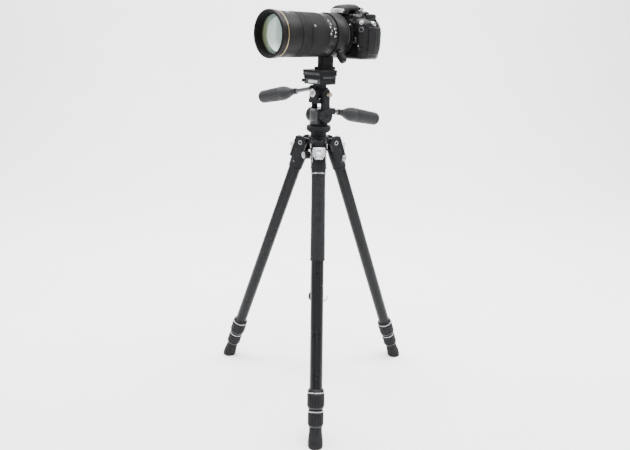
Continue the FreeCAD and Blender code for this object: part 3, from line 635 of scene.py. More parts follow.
def leg_top(leg):
    """The casting stays, with trim rings and bolts added. The angle lock is made anew."""
    place = LEG_PLACES[leg]
    body = leg + "_leg"
    repaint(body + "_casting", "cast", 0.7)
    lock_body, lock_node = body + "_lock_button", body + "_angle_lock"
    outline = [(-13, 8), (13, 8), (13, 24), (8, 33), (-8, 33), (-13, 24)]
    settle(loft(leg + "_angle_plate", place, [[(x, y * (1 - inset), 18 + (s - 18) * (1 - inset)) for y,
        s in outline] for x, inset in ((17.0, 0), (20.1, 0), (20.7, 0.02), (20.9, 0.06))], "silver",
        crease=20), lock_body, lock_node)
    settle(slab(leg + "_angle_neck", place, (17.0, 20.5, -9, 9, -6.0, 8.4), "cast", 1.6, 4), lock_body,
        lock_node)
    settle(slab(leg + "_angle_tongue", place, (LUG_END_R + 1.5, 18.0, -9, 9, -6.0, 3.0), "cast", 0.5),
        lock_body, lock_node)
    band = tube(leg + "_casting_ring", place, CASTING_END - 4.6, CASTING_END - 1.2, CASTING_R - 0.6,
        UPPER_R + 0.2, "ring_steel" if leg == "front" else "cast_dark", 120, 0.4)
    skirt = tube(leg + "_casting_skirt", place, CASTING_END - 1.2, CASTING_END + 1.9, CASTING_R - 1.8,
        UPPER_R + 0.1, "cast_dark", 120, 0.5)
    settle(band, body, slot="silver" if leg == "front" else "cast_black")
    settle(skirt, body, slot="cast_black")
    for side, tag in SIDES:
        head_place = along(place, (0, side * CASTING_R, 0), (0, side, 0))
        settle(lathe(f"{leg}_pivot_ring_{tag}", head_place, [(-0.4, 3.0), (-0.4, 4.9), (1.3, 4.9), (1.7, 4.6),
            (1.7, 3.5), (1.3, 3.2), (1.3, 3.0), (-0.4, 3.0)], "dull_steel", 72), body)
        settle(disc_head(f"{leg}_pivot_seat_{tag}", raised(head_place, -0.5), 3.1, 1.2, "cast_dark", 0.1, 60),
            body)
    cap_place = along(place, (20.8, 0, 16), (1, 0, 0))
    settle(lathe(leg + "_angle_button", cap_place, [(0, 0), (0, 8.4), (1.2, 8.4), (1.6, 7.6), (2.4, 7.2),
        (7.0, 7.2), (7.9, 6.7), (8.4, 5.8), (8.1, 5.3), (8.0, 0)], "silver", 72), body + "_lock_button")
    for side, tag in SIDES:
        screw_place = along(place, (21.1, side * 7.0, 28.6), (1, 0, 0))
        settle(cross_screw(f"{leg}_angle_screw_{tag}", screw_place, 1.7), body + "_lock_button")
    for side, tag in SIDES:
        settle(slab(f"{leg}_casting_rail_{tag}", place, (CASTING_R - 0.6, CASTING_R + 0.5, side * 14.4 - 0.55,
            side * 14.4 + 0.55, 13.0, 39.0), "silver", 0.25), body)
        bolt_place = along(place, (0, side * (CASTING_R - 0.7), 47.0), (0, side, 0))
        settle(socket_screw(f"{leg}_casting_bolt_{tag}", bolt_place, 2.6, 1.5), body)


def side_button():
    """The bright domed button on the outer face of the right leg's casting."""
    way = Vector((math.cos(0.95), math.sin(0.95), 0))
    place = along(LEG_PLACES["right"], way * (CASTING_R - 3.0) + Vector((0, 0, 43.0)), way)
    settle(lathe("right_casting_button", place, [(0, 0), (0, 7.2), (5.0, 7.2), (6.6, 6.6), (7.8, 5.2),
        (8.5, 3.0), (8.7, 0)], "dull_steel", 84), "right_leg")


def leg_tubes(leg):
    for part, body, low, high, radius in (("upper", "_leg", 14.0, LOWER_LOCK[0] - 8, UPPER_R), ("middle",
            "_leg_middle", 40.0, FOOT_TOP - 8, MIDDLE_R), ("lower", "_leg_lower", 60.0, 622.0, LOWER_R)):
        settle(tube(f"{leg}_{part}_tube", LEG_PLACES[leg], low, high, radius, radius - TUBE_WALL, "tube"),
            leg + body, f"{leg}_leg_{part}_tube")


def grip_sleeve():
    """The foam sleeve on the front leg, between two rubber cuffs."""
    place = LEG_PLACES["front"]
    low, high = 66.0, 249.0
    settle(lathe("front_grip_foam", place, [(low + 5, UPPER_R),
        (low + 5, 15.0)] + [(low + 6 + k * (high - low - 12) / 24,
        15.1 + 0.75 * k / 24) for k in range(25)] + [(high - 5, 15.7), (high - 5, UPPER_R),
        (low + 5, UPPER_R)], "sleeve", 120), "front_leg", "front_leg_grip")
    for end, (a, b, r) in (("upper", (low, low + 5.6, 15.3)), ("lower", (high - 5.6, high, 16.3))):
        settle(tube(f"front_grip_{end}_cuff", place, a, b, r, UPPER_R, "lock", 120, 0.8), "front_leg",
            "front_leg_grip", slot="grip_rubber")


for leg_name in LEG_NAMES:
    leg_top(leg_name)
    leg_tubes(leg_name)
    twist_lock(leg_name, "upper", *UPPER_LOCK, UPPER_R, MIDDLE_R, leg_name + "_leg_upper_lock")
    twist_lock(leg_name, "lower", *LOWER_LOCK, MIDDLE_R, LOWER_R, leg_name + "_leg_lower_lock", 3.4)
    foot(leg_name)
grip_sleeve()
side_button()

# ---- spider, column, knob and hook, in the tripod frame ------------------------------------------
HUB_TOP = 617.3
COLUMN_R = 11.0
COLUMN_LOW = 240.0
CAP_LOW = 220.0
PLATE_LOW = 617.6
BASE_LOW, BASE_HIGH = 629.5, 641.5
KNOB_HEIGHT = 577.0


def spider():
    repaint("spider", "cast", 0.8)
    repaint("leg_hinge_pins", "cast_dark", 0.4)
    settle(lathe("spider_top_rim", TRIPOD, shifted(HUB_TOP, [(-3.2, 20.0), (-3.2, 22.1), (-2.6, 22.5),
        (-1.2, 22.5), (-0.5, 22.0), (0, 20.8), (0, 11.2), (-1.0, 11.2), (-1.0, 20.0), (-3.2, 20.0)]), "cast",
        120), "base")
    settle(lathe("spider_clamp_collar", TRIPOD, [(564.0, 11.3), (564.0, 16.8), (565.2, 18.0), (567.5, 18.5),
        (571.0, 18.5), (571.6, 17.7), (573.0, 17.7), (573.6, 18.4), (574.5, 18.4), (574.5, 11.3),
        (564.0, 11.3)], "plastic", 120), "base")
    for leg in LEG_NAMES:
        out = joint_axis(leg + "_leg_angle_release")
        way = Vector((out.x, out.y, 0)).normalized()
        side = Z_UP.cross(way)
        for sign, tag in SIDES:
            spot = way * 28.0 + side * sign * 7.2 + Vector((0, 0, 610.1))
            settle(socket_screw(f"spider_{leg}_bolt_{tag}", along(TRIPOD, spot, (0, 0, 1)), 2.4, 1.6), "base")


def column():
    settle(tube("column_tube", TRIPOD, COLUMN_LOW, HUB_TOP + 5, COLUMN_R, COLUMN_R - 1.6, "tube", 120),
        "column", "centre_column")
    settle(lathe("column_top_flange", TRIPOD, [(PLATE_LOW, COLUMN_R), (PLATE_LOW, 17.4),
        (PLATE_LOW + 0.6, 18.0), (622.0, 18.0), (622.4, 17.4), (623.2, 17.4), (623.6, 18.0), (625.6, 18.2),
        (626.6, 20.2), (627.5, 23.4), (628.0, 24.0), (629.0, 24.0), (BASE_LOW, 23.4), (BASE_LOW, COLUMN_R),
        (PLATE_LOW, COLUMN_R)], "cast", 120), "column", "column_top_plate")
    for k in range(3):
        angle = TAU * (k / 3.0 + 0.08)
        spot = Vector((21.3 * math.cos(angle), 21.3 * math.sin(angle), 626.9))
        settle(socket_screw(f"top_plate_screw_{k}", along(TRIPOD, spot, (0, 0, -1)), 1.6, 1.0), "column")
    settle(lathe("column_bulb", TRIPOD, shifted(CAP_LOW, [(0, 0), (0, 9.2), (0.6, 10.6), (2, 13.0),
        (3.8, 14.6), (6, 15.4), (8.6, 15.6), (8.9, 15.1), (9.9, 15.1), (10.2, 15.6), (13, 15.4), (15.6, 14.6),
        (17.6, 13.3), (19.2, 12.0), (19.7, 11.4), (19.7, 9.5), (34, 9.4), (34, 0)]), "plastic", 120),
        "column", "column_end_cap")


def column_knob():
    """Six soft lobes, a silver cap in front and a silver washer behind."""
    way = joint_axis("column_knob_turn")
    if way.y > 0:
        way = -way
    place = along(TRIPOD, (0, 0, KNOB_HEIGHT), way)
    settle(lathe("column_knob_stem", place, [(11.5, 0), (11.5, 3.0), (18.3, 3.0), (18.3, 5.0), (19.6, 5.0),
        (20.2, 4.4), (23.4, 4.4), (23.4, 0)], "steel", 60), "column_knob", "column_lock_knob", slot="silver")
    settle(tube("column_knob_washer", place, 22.2, 24.0, 8.7, 3.0, "silver", 84, 0.4), "column_knob",
        "column_lock_knob")
    settle(ribbed("column_knob_grip", place, 24.0, 37.4, 9.0, 3.0, "plastic", 12, 0.9, edge=1.0, land=1.3,
        fine=12, shape=wave), "column_knob", "column_lock_knob")
    settle(lathe("column_knob_face", place, [(37.3, 0), (37.3, 7.4), (38.3, 7.4), (38.9, 6.9), (38.9, 6.0),
        (38.5, 5.6), (38.7, 4.2), (39.2, 0)], "dull_steel", 84), "column_knob", "column_lock_knob")


def sweep(name, place, points, radius, material, steps=20, closed=False):
    """A round bar that follows a list of points; radius may be a number or one number a point."""
    bm = bmesh.new()
    points = [Vector(p) for p in points]
    radii = radius if isinstance(radius, (list, tuple)) else [radius] * len(points)
    rows = []
    normal = None
    for i, point in enumerate(points):
        before = points[i - 1] if i > 0 or closed else points[i]
        after = points[(i + 1) % len(points)] if i < len(points) - 1 or closed else points[i]
        tangent = (after - before).normalized()
        if normal is None:
            helper = Vector((0, 0, 1)) if abs(tangent.z) < 0.9 else Vector((0, 1, 0))
            normal = helper.cross(tangent).normalized()
        normal = (normal - tangent * normal.dot(tangent)).normalized()
        other = tangent.cross(normal)
        rows.append([bm.verts.new(point + (normal * math.cos(TAU * k / steps) + other
            * math.sin(TAU * k / steps)) * radii[i]) for k in range(steps)])
    pairs = list(zip(rows, rows[1:])) + ([(rows[-1], rows[0])] if closed else [])
    for low, high in pairs:
        for k in range(steps):
            j = (k + 1) % steps
            bm.faces.new((low[k], low[j], high[j], high[k]))
    if not closed:
        bm.faces.new(rows[0][::-1])
        bm.faces.new(rows[-1])
    return finish_mesh(name, bm, place, material)


def hook():
    """Round wire: a stem out of the bulb, a bend, a level arm and an end that turns up."""
    bend, level, reach, arc = 3.0, CAP_LOW - 3.4, 31.0, 12.5
    settle(lathe("hook_washer", TRIPOD, shifted(CAP_LOW, [(-0.1, 0), (-0.1, 4.8), (-0.5, 5.0), (-0.9, 4.8),
        (-1.1, 4.0), (-1.1, 0)]), "steel", 72), "hook")
    path = [(0, 0, CAP_LOW + 10.0), (0, 0, level + bend)]
    for k in range(1, 9):
        angle = math.radians(180 + 90 * k / 8)
        path.append((bend + bend * math.cos(angle), 0, level + bend + bend * math.sin(angle)))
    path.append((reach - arc, 0, level))
    for k in range(1, 33):
        angle = math.radians(270 + 105 * k / 32)
        path.append((reach - arc + arc * math.cos(angle), 0, level + arc + arc * math.sin(angle)))
    radii = [2.0] * (len(path) - 3) + [1.9, 1.6, 0.9]
    settle(sweep("hook_wire", TRIPOD, path, radii, "silver", 28), "hook", "ballast_hook", slot="steel")


spider()
column()
column_knob()
hook()

# ---- head, in the head frame ---------------------------------------------------------------------
YOKE_SIDE = 26.0
FRICTION_AT = (0, 24.3, 709.5)


def base_and_pan():
    settle(ribbed("head_base_knurl", HEAD, BASE_LOW + 1.2, BASE_HIGH - 1.2, 27.0, 20.0, "cast", 60, 0.55,
        edge=0.7, land=1.2, fine=6, shape=wave), "column", "head_base")
    settle(lathe("head_base_core", HEAD, [(BASE_LOW, 0), (BASE_LOW, 24.6), (BASE_LOW + 0.5, 25.4),
        (BASE_LOW + 1.4, 25.8), (BASE_HIGH - 1.4, 25.8), (BASE_HIGH - 0.5, 25.4), (BASE_HIGH, 24.6),
        (BASE_HIGH, 0)], "cast_dark", 120), "column", "head_base")
    repaint("pan_body", "gunmetal", 0.6)
    settle(lathe("pan_neck_ring", HEAD, [(642.0, 18.0), (642.0, 19.6), (642.4, 20.0), (643.4, 20.0),
        (643.7, 19.7), (644.2, 19.7), (644.5, 20.0), (645.8, 19.9), (646.4, 19.2), (646.6, 18.0),
        (646.6, 12.6), (642.0, 12.6), (642.0, 18.0)], "cast_dark", 144), "pan")
    settle(slab("pan_index", HEAD, (19.7, 20.1, -0.3, 0.3, 642.3, 645.9), "gunmetal", 0.05), "pan")
    settle(lathe("pan_front_barrel_rim", along(HEAD, (11, 0, 646.4), (0, 0, 1)), [(-0.2, 11.5), (-0.2, 12.7),
        (0.5, 13.0), (1.3, 12.9), (1.7, 12.3), (1.7, 11.5), (-0.2, 11.5)], "gunmetal", 96), "pan")


def join_named(name, pieces):
    whole = join(pieces[0], pieces[1:])
    whole.name = name
    whole.data.name = name
    return whole


def yoke():
    repaint("tilt_body", "cast", 0.8)
    for side in (-1, 1):
        tag = "left" if side > 0 else "right"
        place = along(HEAD, (0, side * YOKE_SIDE, TILT_HEIGHT), (0, side, 0))
        settle(lathe(f"tilt_boss_{tag}_cover", place, [(-1.0, 0), (-1.0, 15.7), (-0.2, 15.9), (0.6, 15.5),
            (0.9, 15.0), (0.9, 13.2), (0.4, 12.9), (0.4, 12.1), (0.9, 11.7), (1.1, 11.2), (1.1, 8.4),
            (0.6, 8.0), (0.6, 7.3), (1.2, 6.9), (1.4, 6.4), (1.4, 0)], "cast", 132), "tilt")
        settle(disc_head(f"tilt_boss_{tag}_cap", raised(place, 1.4), 4.6, 0.9, "cast_dark", 0.3, 72), "tilt")
    cap_place = along(HEAD, (20, 0, SIDE_HEIGHT), (1, 0, 0))
    settle(lathe("side_tilt_silver_cap", cap_place, [(0, 0), (0, 8.6), (2.0, 8.6), (2.7, 8.0), (2.7, 6.3),
        (2.3, 5.9), (1.5, 5.7), (1.4, 0)], "silver", 108), "tilt", "side_tilt_cap")
    settle(lathe("side_tilt_cap_centre", cap_place, [(1.0, 0), (1.0, 5.0), (1.9, 4.8), (2.3, 4.3), (2.4, 2.2),
        (1.7, 1.9), (1.6, 0)], "dull_steel", 96), "tilt")
    rear_place = along(HEAD, (-20, 0, SIDE_HEIGHT), (-1, 0, 0))
    settle(lathe("side_tilt_rear_cap", rear_place, [(0, 0), (0, 8.2), (0.9, 8.2), (1.3, 7.6), (1.3, 4.4),
        (0.8, 4.0), (0.8, 0)], "gunmetal", 96), "tilt")
    settle(socket_screw("side_tilt_rear_screw", along(HEAD, (-20.8, 0, SIDE_HEIGHT), (-1, 0, 0)), 2.8, 1.4),
        "tilt")
    for side, tag in SIDES:
        spot = along(HEAD, (-34, side * 10.5, TILT_HEIGHT + 8), (-1, 0, 0))
        settle(socket_screw(f"yoke_rear_screw_{tag}", spot, 2.0, 1.2), "tilt")


def friction():
    place = along(HEAD, FRICTION_AT, (0, 1, 0))
    settle(lathe("friction_knob_stem", place, [(0, 0), (0, 2.6), (3.4, 2.6), (3.4, 0)], "steel", 48),
        "friction_knob", "friction_knob")
    settle(ribbed("friction_knob_knurl", place, 3.0, 11.4, 4.5, 1.0, "brass", 24, 0.35, edge=0.5, land=1.2,
        fine=6, shape=wave), "friction_knob", "friction_knob")
    settle(disc_head("friction_knob_face", raised(place, 11.2), 3.7, 0.8, "brass", 0.1, 60), "friction_knob",
        "friction_knob")


def clamp():
    repaint("top_body", "cast", 0.7)
    repaint("clamp_lever", "silver", 0.5)
    repaint("quick_release_plate", "cast", 0.6)
    repaint("plate_screw", "steel", 0.25)
    settle(slab("clamp_end_plate", HEAD, (19.6, 20.7, -22.5, 22.5, 731.8, 741.6), "gunmetal", 0.35), "top")
    settle(slab("clamp_plain_label", HEAD, (20.5, 20.95, -13.5, 13.5, 733.6, 739.0), "label", 0.15), "top")
    for side, tag in SIDES:
        spot = along(HEAD, (20.7, side * 17.4, 736.7), (1, 0, 0))
        settle(cross_screw(f"clamp_end_screw_{tag}", spot, 1.6), "top")
        settle(slab(f"clamp_rail_lip_{tag}", HEAD, (-19.2, 19.2, side * 29.9 - 0.55, side * 29.9 + 0.55,
            743.4, 747.2), "gunmetal", 0.3), "top")
    settle(slab("clamp_side_skirt", HEAD, (-18.5, 18.5, 29.2, 30.5, 731.6, 741.8), "cast_dark", 0.4), "top")
    settle(socket_screw("clamp_lever_pivot", along(HEAD, (-12, -34.5, 742), (0, 0, 1)), 3.2, 1.3),
        "clamp_lever")
    settle(slab("clamp_lever_tip", HEAD, (9.0, 18.2, -38.6, -32.8, 733.0, 740.0), "lock", 0.9, 3),
        "clamp_lever", slot="lock_rubber")
    strips = [slab("pad", HEAD, (-22.4, 22.4, y - 2.3, y + 2.3, 759.7, 760.5), "lock", 0.25,
        1) for y in (-24.0, -18.0, 18.0, 24.0)]
    settle(join_named("plate_rubber_strips", strips), "plate", slot="lock_rubber")
    for side, tag in SIDES:
        low, high = sorted((side * 23.7, side * 24.5))
        settle(slab(f"plate_end_bar_{tag}", HEAD, (low, high, -24.0, 24.0, 750.2, 755.2), "dark_steel", 0.25),
            "plate")


def pan_handle(label, joint, base, rod_length, grip_length, grip_r, body, holder_body, rod_node, grip_node):
    """A thin bar, a nut where it enters the grip, and a rubber grip with ribs along it."""
    way = to_head(joint_axis(joint))
    place = along(HEAD, base, way)
    settle(lathe(label + "_bar", place, [(1.2, 0), (1.2, 4.5), (rod_length + 2, 4.5), (rod_length + 2, 0)],
        "dark_steel", 72), body, rod_node)
    settle(ribbed(label + "_neck_nut", place, rod_length - 9, rod_length + 1, 6.9, 4.4, "plastic", 16, 0.4,
        edge=0.8, land=1.4, fine=6, shape=wave), body, rod_node)
    nose = [(0, 4.5), (0, 6.2), (0.6, 6.9), (3, 7.3), (9, 8.3)]
    nose += [(9 + 31 * k / 6, 8.3 + (grip_r - 8.3) * math.sin(math.pi / 2 * k / 6)) for k in range(1, 7)]
    nose += [(42, grip_r), (43, grip_r - 0.3), (43.4, grip_r - 1.2), (43.4, 9.0), (0, 4.5)]
    settle(lathe(label + "_grip_nose", place, [(rod_length + s, r) for s, r in nose], "grip", 120, crease=50),
        body, grip_node)
    end = rod_length + grip_length
    low, high = rod_length + 43.6, end - 9.0

    def radius_at(station):
        return grip_r - 1.2 * (station - low) / (high - low)

    outline = [(low, 8.0), (low, radius_at(low) - 0.9), (low + 0.9, radius_at(low)), (low + 3.4,
        radius_at(low))]
    stations = [low + 3.4 + (high - 6.0 - low) * k / 10.0 for k in range(1, 11)]
    outline += [(s, radius_at(s)) for s in stations]
    last = stations[-1]
    outline += [(last + 0.7, radius_at(last)), (high, radius_at(high)), (high, 8.0), (low, 8.0)]
    ribs = (24, 0.8, low + 3.3, last + 0.1, groove(0.3))
    settle(lathe(label + "_grip_ribs", place, outline, "grip", 24 * 10, ribs=ribs), body, grip_node)
    r = grip_r - 1.2
    settle(lathe(label + "_grip_end", place, [(high, 8.0), (high, r - 0.2), (high + 0.8, r),
        (end - 5.0, r - 0.2), (end - 2.4, r - 1.4), (end - 0.8, r - 3.4), (end, r - 6.2), (end, 5.6),
        (end - 0.5, 5.0), (end - 0.5, 0)], "grip", 120, crease=50), body, grip_node)
    socket_place = along(HEAD, Vector(base) - Vector(way).normalized() * 1.0, way)
    settle(lathe(label + "_socket_collar", socket_place, [(0, 4.7), (0, 7.4), (3.2, 7.2), (4.0, 6.6),
        (4.4, 5.6), (4.4, 4.7), (0, 4.7)], "gunmetal", 84), holder_body)


def to_head(direction):
    return (direction.dot(LENS_WAY), direction.dot(LEFT_WAY), direction.z)


base_and_pan()
yoke()
friction()
clamp()
pan_handle("tilt_handle", "tilt_handle_twist", (-34, 0, 671), 34, 126, 16.4, "tilt_handle", "tilt",
    "tilt_handle_rod", "tilt_handle_grip")
pan_handle("side_handle", "side_handle_twist", (6, -18, 720), 60, 116, 16.0, "side_handle", "top",
    "side_handle_rod", "side_handle_grip")

# ---- lens, in the lens frame: +Z ahead along the lens, +X to its left, +Y up ---------------------
FRONT = 144.4
MOUNT = -52.0
KNOB_TURN = math.radians(-48.0)
COLLAR_MIDDLE = -24.0
SCALE_R = 43.86


def lens_side(angle, radius, station):
    """A frame on the lens's side, +Z outward, at an angle about its axis from +X."""
    way = (math.cos(angle), math.sin(angle), 0)
    return along(LENS, (radius * way[0], radius * way[1], station), way)


LENS_BARRELS = (
    ("lens_rear_barrel", "lens", 168,
     [(MOUNT, 24.0), (MOUNT, 32.6), (MOUNT + 0.6, 33.0), (-46.6, 33.0), (-45.4, 34.2), (-43.4, 38.6),
      (-42.6, 39.4), (-41.4, 39.6), (-41.0, 41.2), (-40.6, 41.8), (-40.0, 42.0), (-39.8, 42.2), (-8.0, 42.2),
      (-8.0, 30.0), (MOUNT, 24.0)]),
    ("lens_scale_barrel", "lens", 168,
     [(-8.0, 40.0), (-8.0, 42.8), (-7.4, 43.6), (3.0, 43.8), (3.5, 43.2), (4.4, 43.2), (4.9, 43.8),
      (17.2, 43.8), (18.0, 43.2), (18.4, 41.4), (19.4, 41.4), (19.4, 40.0), (-8.0, 40.0)]),
    ("lens_inner_tube", "lens_inner", 120,
     [(-8.0, 38.0), (-8.0, 41.3), (92.6, 41.3), (92.6, 38.0), (-8.0, 38.0)]),
    ("lens_front_barrel", "lens", 168,
     [(91.9, 38.0), (91.9, 43.0), (92.4, 44.0), (93.2, 44.4), (97.6, 44.5), (98.1, 44.0), (99.1, 44.0),
      (99.6, 44.5), (119.0, 44.9), (119.3, 44.6), (119.3, 38.0), (91.9, 38.0)]))


def lens_barrels():
    for name, material, steps, outline in LENS_BARRELS:
        settle(lathe(name, LENS, outline, material, steps), "camera", "lens_barrel")


def front_rim():
    """The barrel's last band, the gold line, and a rim with a filter thread and a stepped baffle."""
    settle(lathe("lens_rim_band", LENS, [(119.4, 39.0), (119.4, 44.9), (127.4, 45.1), (127.6, 44.8),
        (127.6, 41.0), (119.4, 39.0)], "lens", 192), "camera", "lens_front_ring")
    settle(lathe("lens_gold_line", LENS, [(127.6, 41.0), (127.6, 45.1), (127.9, 45.4), (128.5, 45.4),
        (128.8, 45.1), (128.8, 41.0), (127.6, 41.0)], "gold", 192), "camera", "lens_front_ring")
    rim = [(128.8, 41.0), (128.8, 44.6), (131.0, 44.8), (131.4, 46.2), (132.0, 46.6), (139.4, 46.7),
        (142.6, 46.7), (143.7, 46.3), (144.3, 45.5), (FRONT, 44.7), (FRONT, 43.4), (143.9, 42.6)]
    z = 143.4
    while z > 137.4:
        rim += [(z, 41.1), (z - 0.35, 41.6), (z - 0.7, 41.1)]
        z -= 0.75
    baffle = [(136.4, 41.0), (136.2, 40.8), (134.4, 40.7), (134.3, 40.5), (132.7, 40.4), (132.6, 40.2),
        (131.2, 40.1), (131.1, 39.8), (129.6, 39.7), (129.5, 39.4), (128.8, 39.4), (128.8, 41.0)]
    piece = lathe("lens_rim", LENS, rim + baffle, "rim", 192, crease=24)
    piece.data.materials.append(MATERIALS["lens_inner"])
    inverse = LENS.inverted()
    for face in piece.data.polygons:
        centre = inverse @ face.center
        if math.hypot(centre.x, centre.y) < 43.0 and centre.z < 143.9:
            face.material_index = 1
    settle(piece, "camera", "lens_front_ring", slot="lens_black")
    for k in range(3):
        angle = TAU * k / 3 + 0.35
        lug_place = LENS @ Matrix.Rotation(angle, 4, "Z")
        settle(slab(f"hood_lug_{k}", lug_place, (44.6, 45.9, -5.5, 5.5, 123.0, 125.4), "lens", 0.3), "camera")


def glass_disc(name, back, edge, radius, dome, material, slot):
    """A lens element: its front is domed, or dished when dome is negative; its back is curved."""
    outline = [(back, 0)]
    outline += [(back + 0.5 * (1 - (k / 12.0) ** 2) * -1.0 + 0.5, radius * k / 12.0) for k in range(1, 13)]
    outline.append((edge - 0.3, radius))
    outline.append((edge, radius - 0.35))
    for k in range(19, -1, -1):
        r = (radius - 0.35) * k / 20.0
        outline.append((edge + dome * (1 - (r / radius) ** 2), r))
    return settle(lathe(name, LENS, outline, material, 144, crease=50), "camera", slot=slot)


def lens_glass():
    element = glass_disc("front_element", 124.0, 127.8, 39.2, 6.0, "glass", "coated_glass")
    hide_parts("front_glass")
    settle(lathe("glass_retaining_ring", LENS, [(123.0, 37.8), (128.0, 37.8), (128.9, 38.1), (129.4, 38.7),
        (129.4, 39.4), (123.0, 39.4), (123.0, 37.8)], "lens_inner", 168), "camera")
    settle(lathe("lens_tunnel", LENS, [(123.4, 38.0), (123.4, 35.6), (120.0, 35.2), (119.7, 34.0),
        (114.0, 33.4), (113.7, 32.2), (106.0, 31.4), (105.7, 30.4), (96.0, 29.6), (95.6, 28.6), (84.0, 27.6),
        (83.6, 26.6), (70.0, 25.6), (70.0, 38.0), (123.4, 38.0)], "lens_inner", 144, crease=24), "camera")
    glass_disc("second_element", 108.0, 111.0, 31.0, 4.5, "inner_green", "coated_glass")
    glass_disc("third_element", 86.0, 89.0, 27.0, -4.0, "inner_teal", "coated_glass")
    settle(lathe("iris_stop", LENS, [(74.0, 26.5), (74.0, 9.0), (74.6, 8.6), (75.2, 9.0), (75.2, 26.5),
        (74.0, 26.5)], "lens_inner", 96), "camera")
    settle(disc_head("lens_dark_back", raised(LENS, 70.2), 25.6, 0.8, "lens_inner", 0.0, 72), "camera")


def grip_ring(label, low, high, radius, body, node, blocks, count, depth):
    """A rubber-covered ring: metal lips, and bands of ribs between plain lands."""
    settle(lathe(label + "_core", LENS, [(low, 41.5), (low, radius - 0.9), (low + 0.5, radius - 0.3),
        (low + 2.2, radius - 0.2), (low + 2.6, radius - 1.0), (high - 2.6, radius - 1.0),
        (high - 2.2, radius - 0.2), (high - 0.5, radius - 0.3), (high, radius - 0.9), (high, 41.5),
        (low, 41.5)], "lens", 168), body, node)
    for k, (a, b) in enumerate(blocks):
        settle(ribbed(f"{label}_ribs_{k}", LENS, a, b, radius + 0.25, radius - 1.6, "lens_rubber", count,
            depth, width=0.34, edge=0.5, land=0.7, fine=6), body, node)


STROKES = {
    "0": (((0, 0), (1, 0), (1, 2), (0, 2), (0, 0)),),
    "1": (((0.1, 1.5), (0.6, 2), (0.6, 0)),),
    "2": (((0, 2), (1, 2), (1, 1), (0, 1), (0, 0), (1, 0)),),
    "3": (((0, 2), (1, 2), (1, 0), (0, 0)), ((0.2, 1), (1, 1))),
    "5": (((1, 2), (0, 2), (0, 1), (1, 1), (1, 0), (0, 0)),),
    "7": (((0, 2), (1, 2), (0.4, 0)),),
    "8": (((0, 0), (1, 0), (1, 2), (0, 2), (0, 0)), ((0, 1), (1, 1))),
}


def marks_on_barrel(name, strokes, radius, material, body, slot, width=0.28):
    """Printed lines on a cylinder about the lens axis. A stroke is a list of (station, arc) in mm."""
    bm = bmesh.new()
    for line in strokes:
        for (z0, s0), (z1, s1) in zip(line, line[1:]):
            length = math.hypot(z1 - z0, s1 - s0)
            if length < 1e-6:
                continue
            nz, ns = -(s1 - s0) / length * width / 2, (z1 - z0) / length * width / 2
            ez, es = (z1 - z0) / length * width / 2, (s1 - s0) / length * width / 2
            cuts = max(1, int(abs(s1 - s0) / 1.5))
            last = None
            for k in range(cuts + 1):
                t = k / cuts
                z = z0 + (z1 - z0) * t + (ez if k == cuts else -ez if k == 0 else 0)
                s = s0 + (s1 - s0) * t + (es if k == cuts else -es if k == 0 else 0)
                pair = []
                for sign in (-1, 1):
                    angle = (s + ns * sign) / radius
                    pair.append(bm.verts.new((radius * math.cos(angle), radius * math.sin(angle),
                        z + nz * sign)))
                if last:
                    bm.faces.new((last[0], pair[0], pair[1], last[1]))
                last = pair
    for face in bm.faces:
        if face.normal.dot(Vector((face.calc_center_median().x, face.calc_center_median().y, 0))) < 0:
            face.normal_flip()
    whole = bm.faces[:]
    solid = bmesh.ops.extrude_face_region(bm, geom=whole)
    moved = [v for v in solid["geom"] if isinstance(v, bmesh.types.BMVert)]
    for vert in moved:
        out = Vector((vert.co.x, vert.co.y, 0)).normalized()
        vert.co += out * 0.05
    return settle(finish_mesh(name, bm, LENS, material), body, slot=slot)


def digits(text, station, arc, size, turned=False):
    """Strokes for a number printed along the barrel; size is the height of a figure."""
    strokes = []
    pitch = size * 0.78
    for index, figure in enumerate(text):
        for line in STROKES[figure]:
            points = []
            for x, y in line:
                u = (index - len(text) / 2.0) * pitch + x * size * 0.46
                v = (y - 1) * size * 0.5
                points.append((station + v, arc + u) if not turned else (station + u, arc - v))
            strokes.append(points)
    return strokes


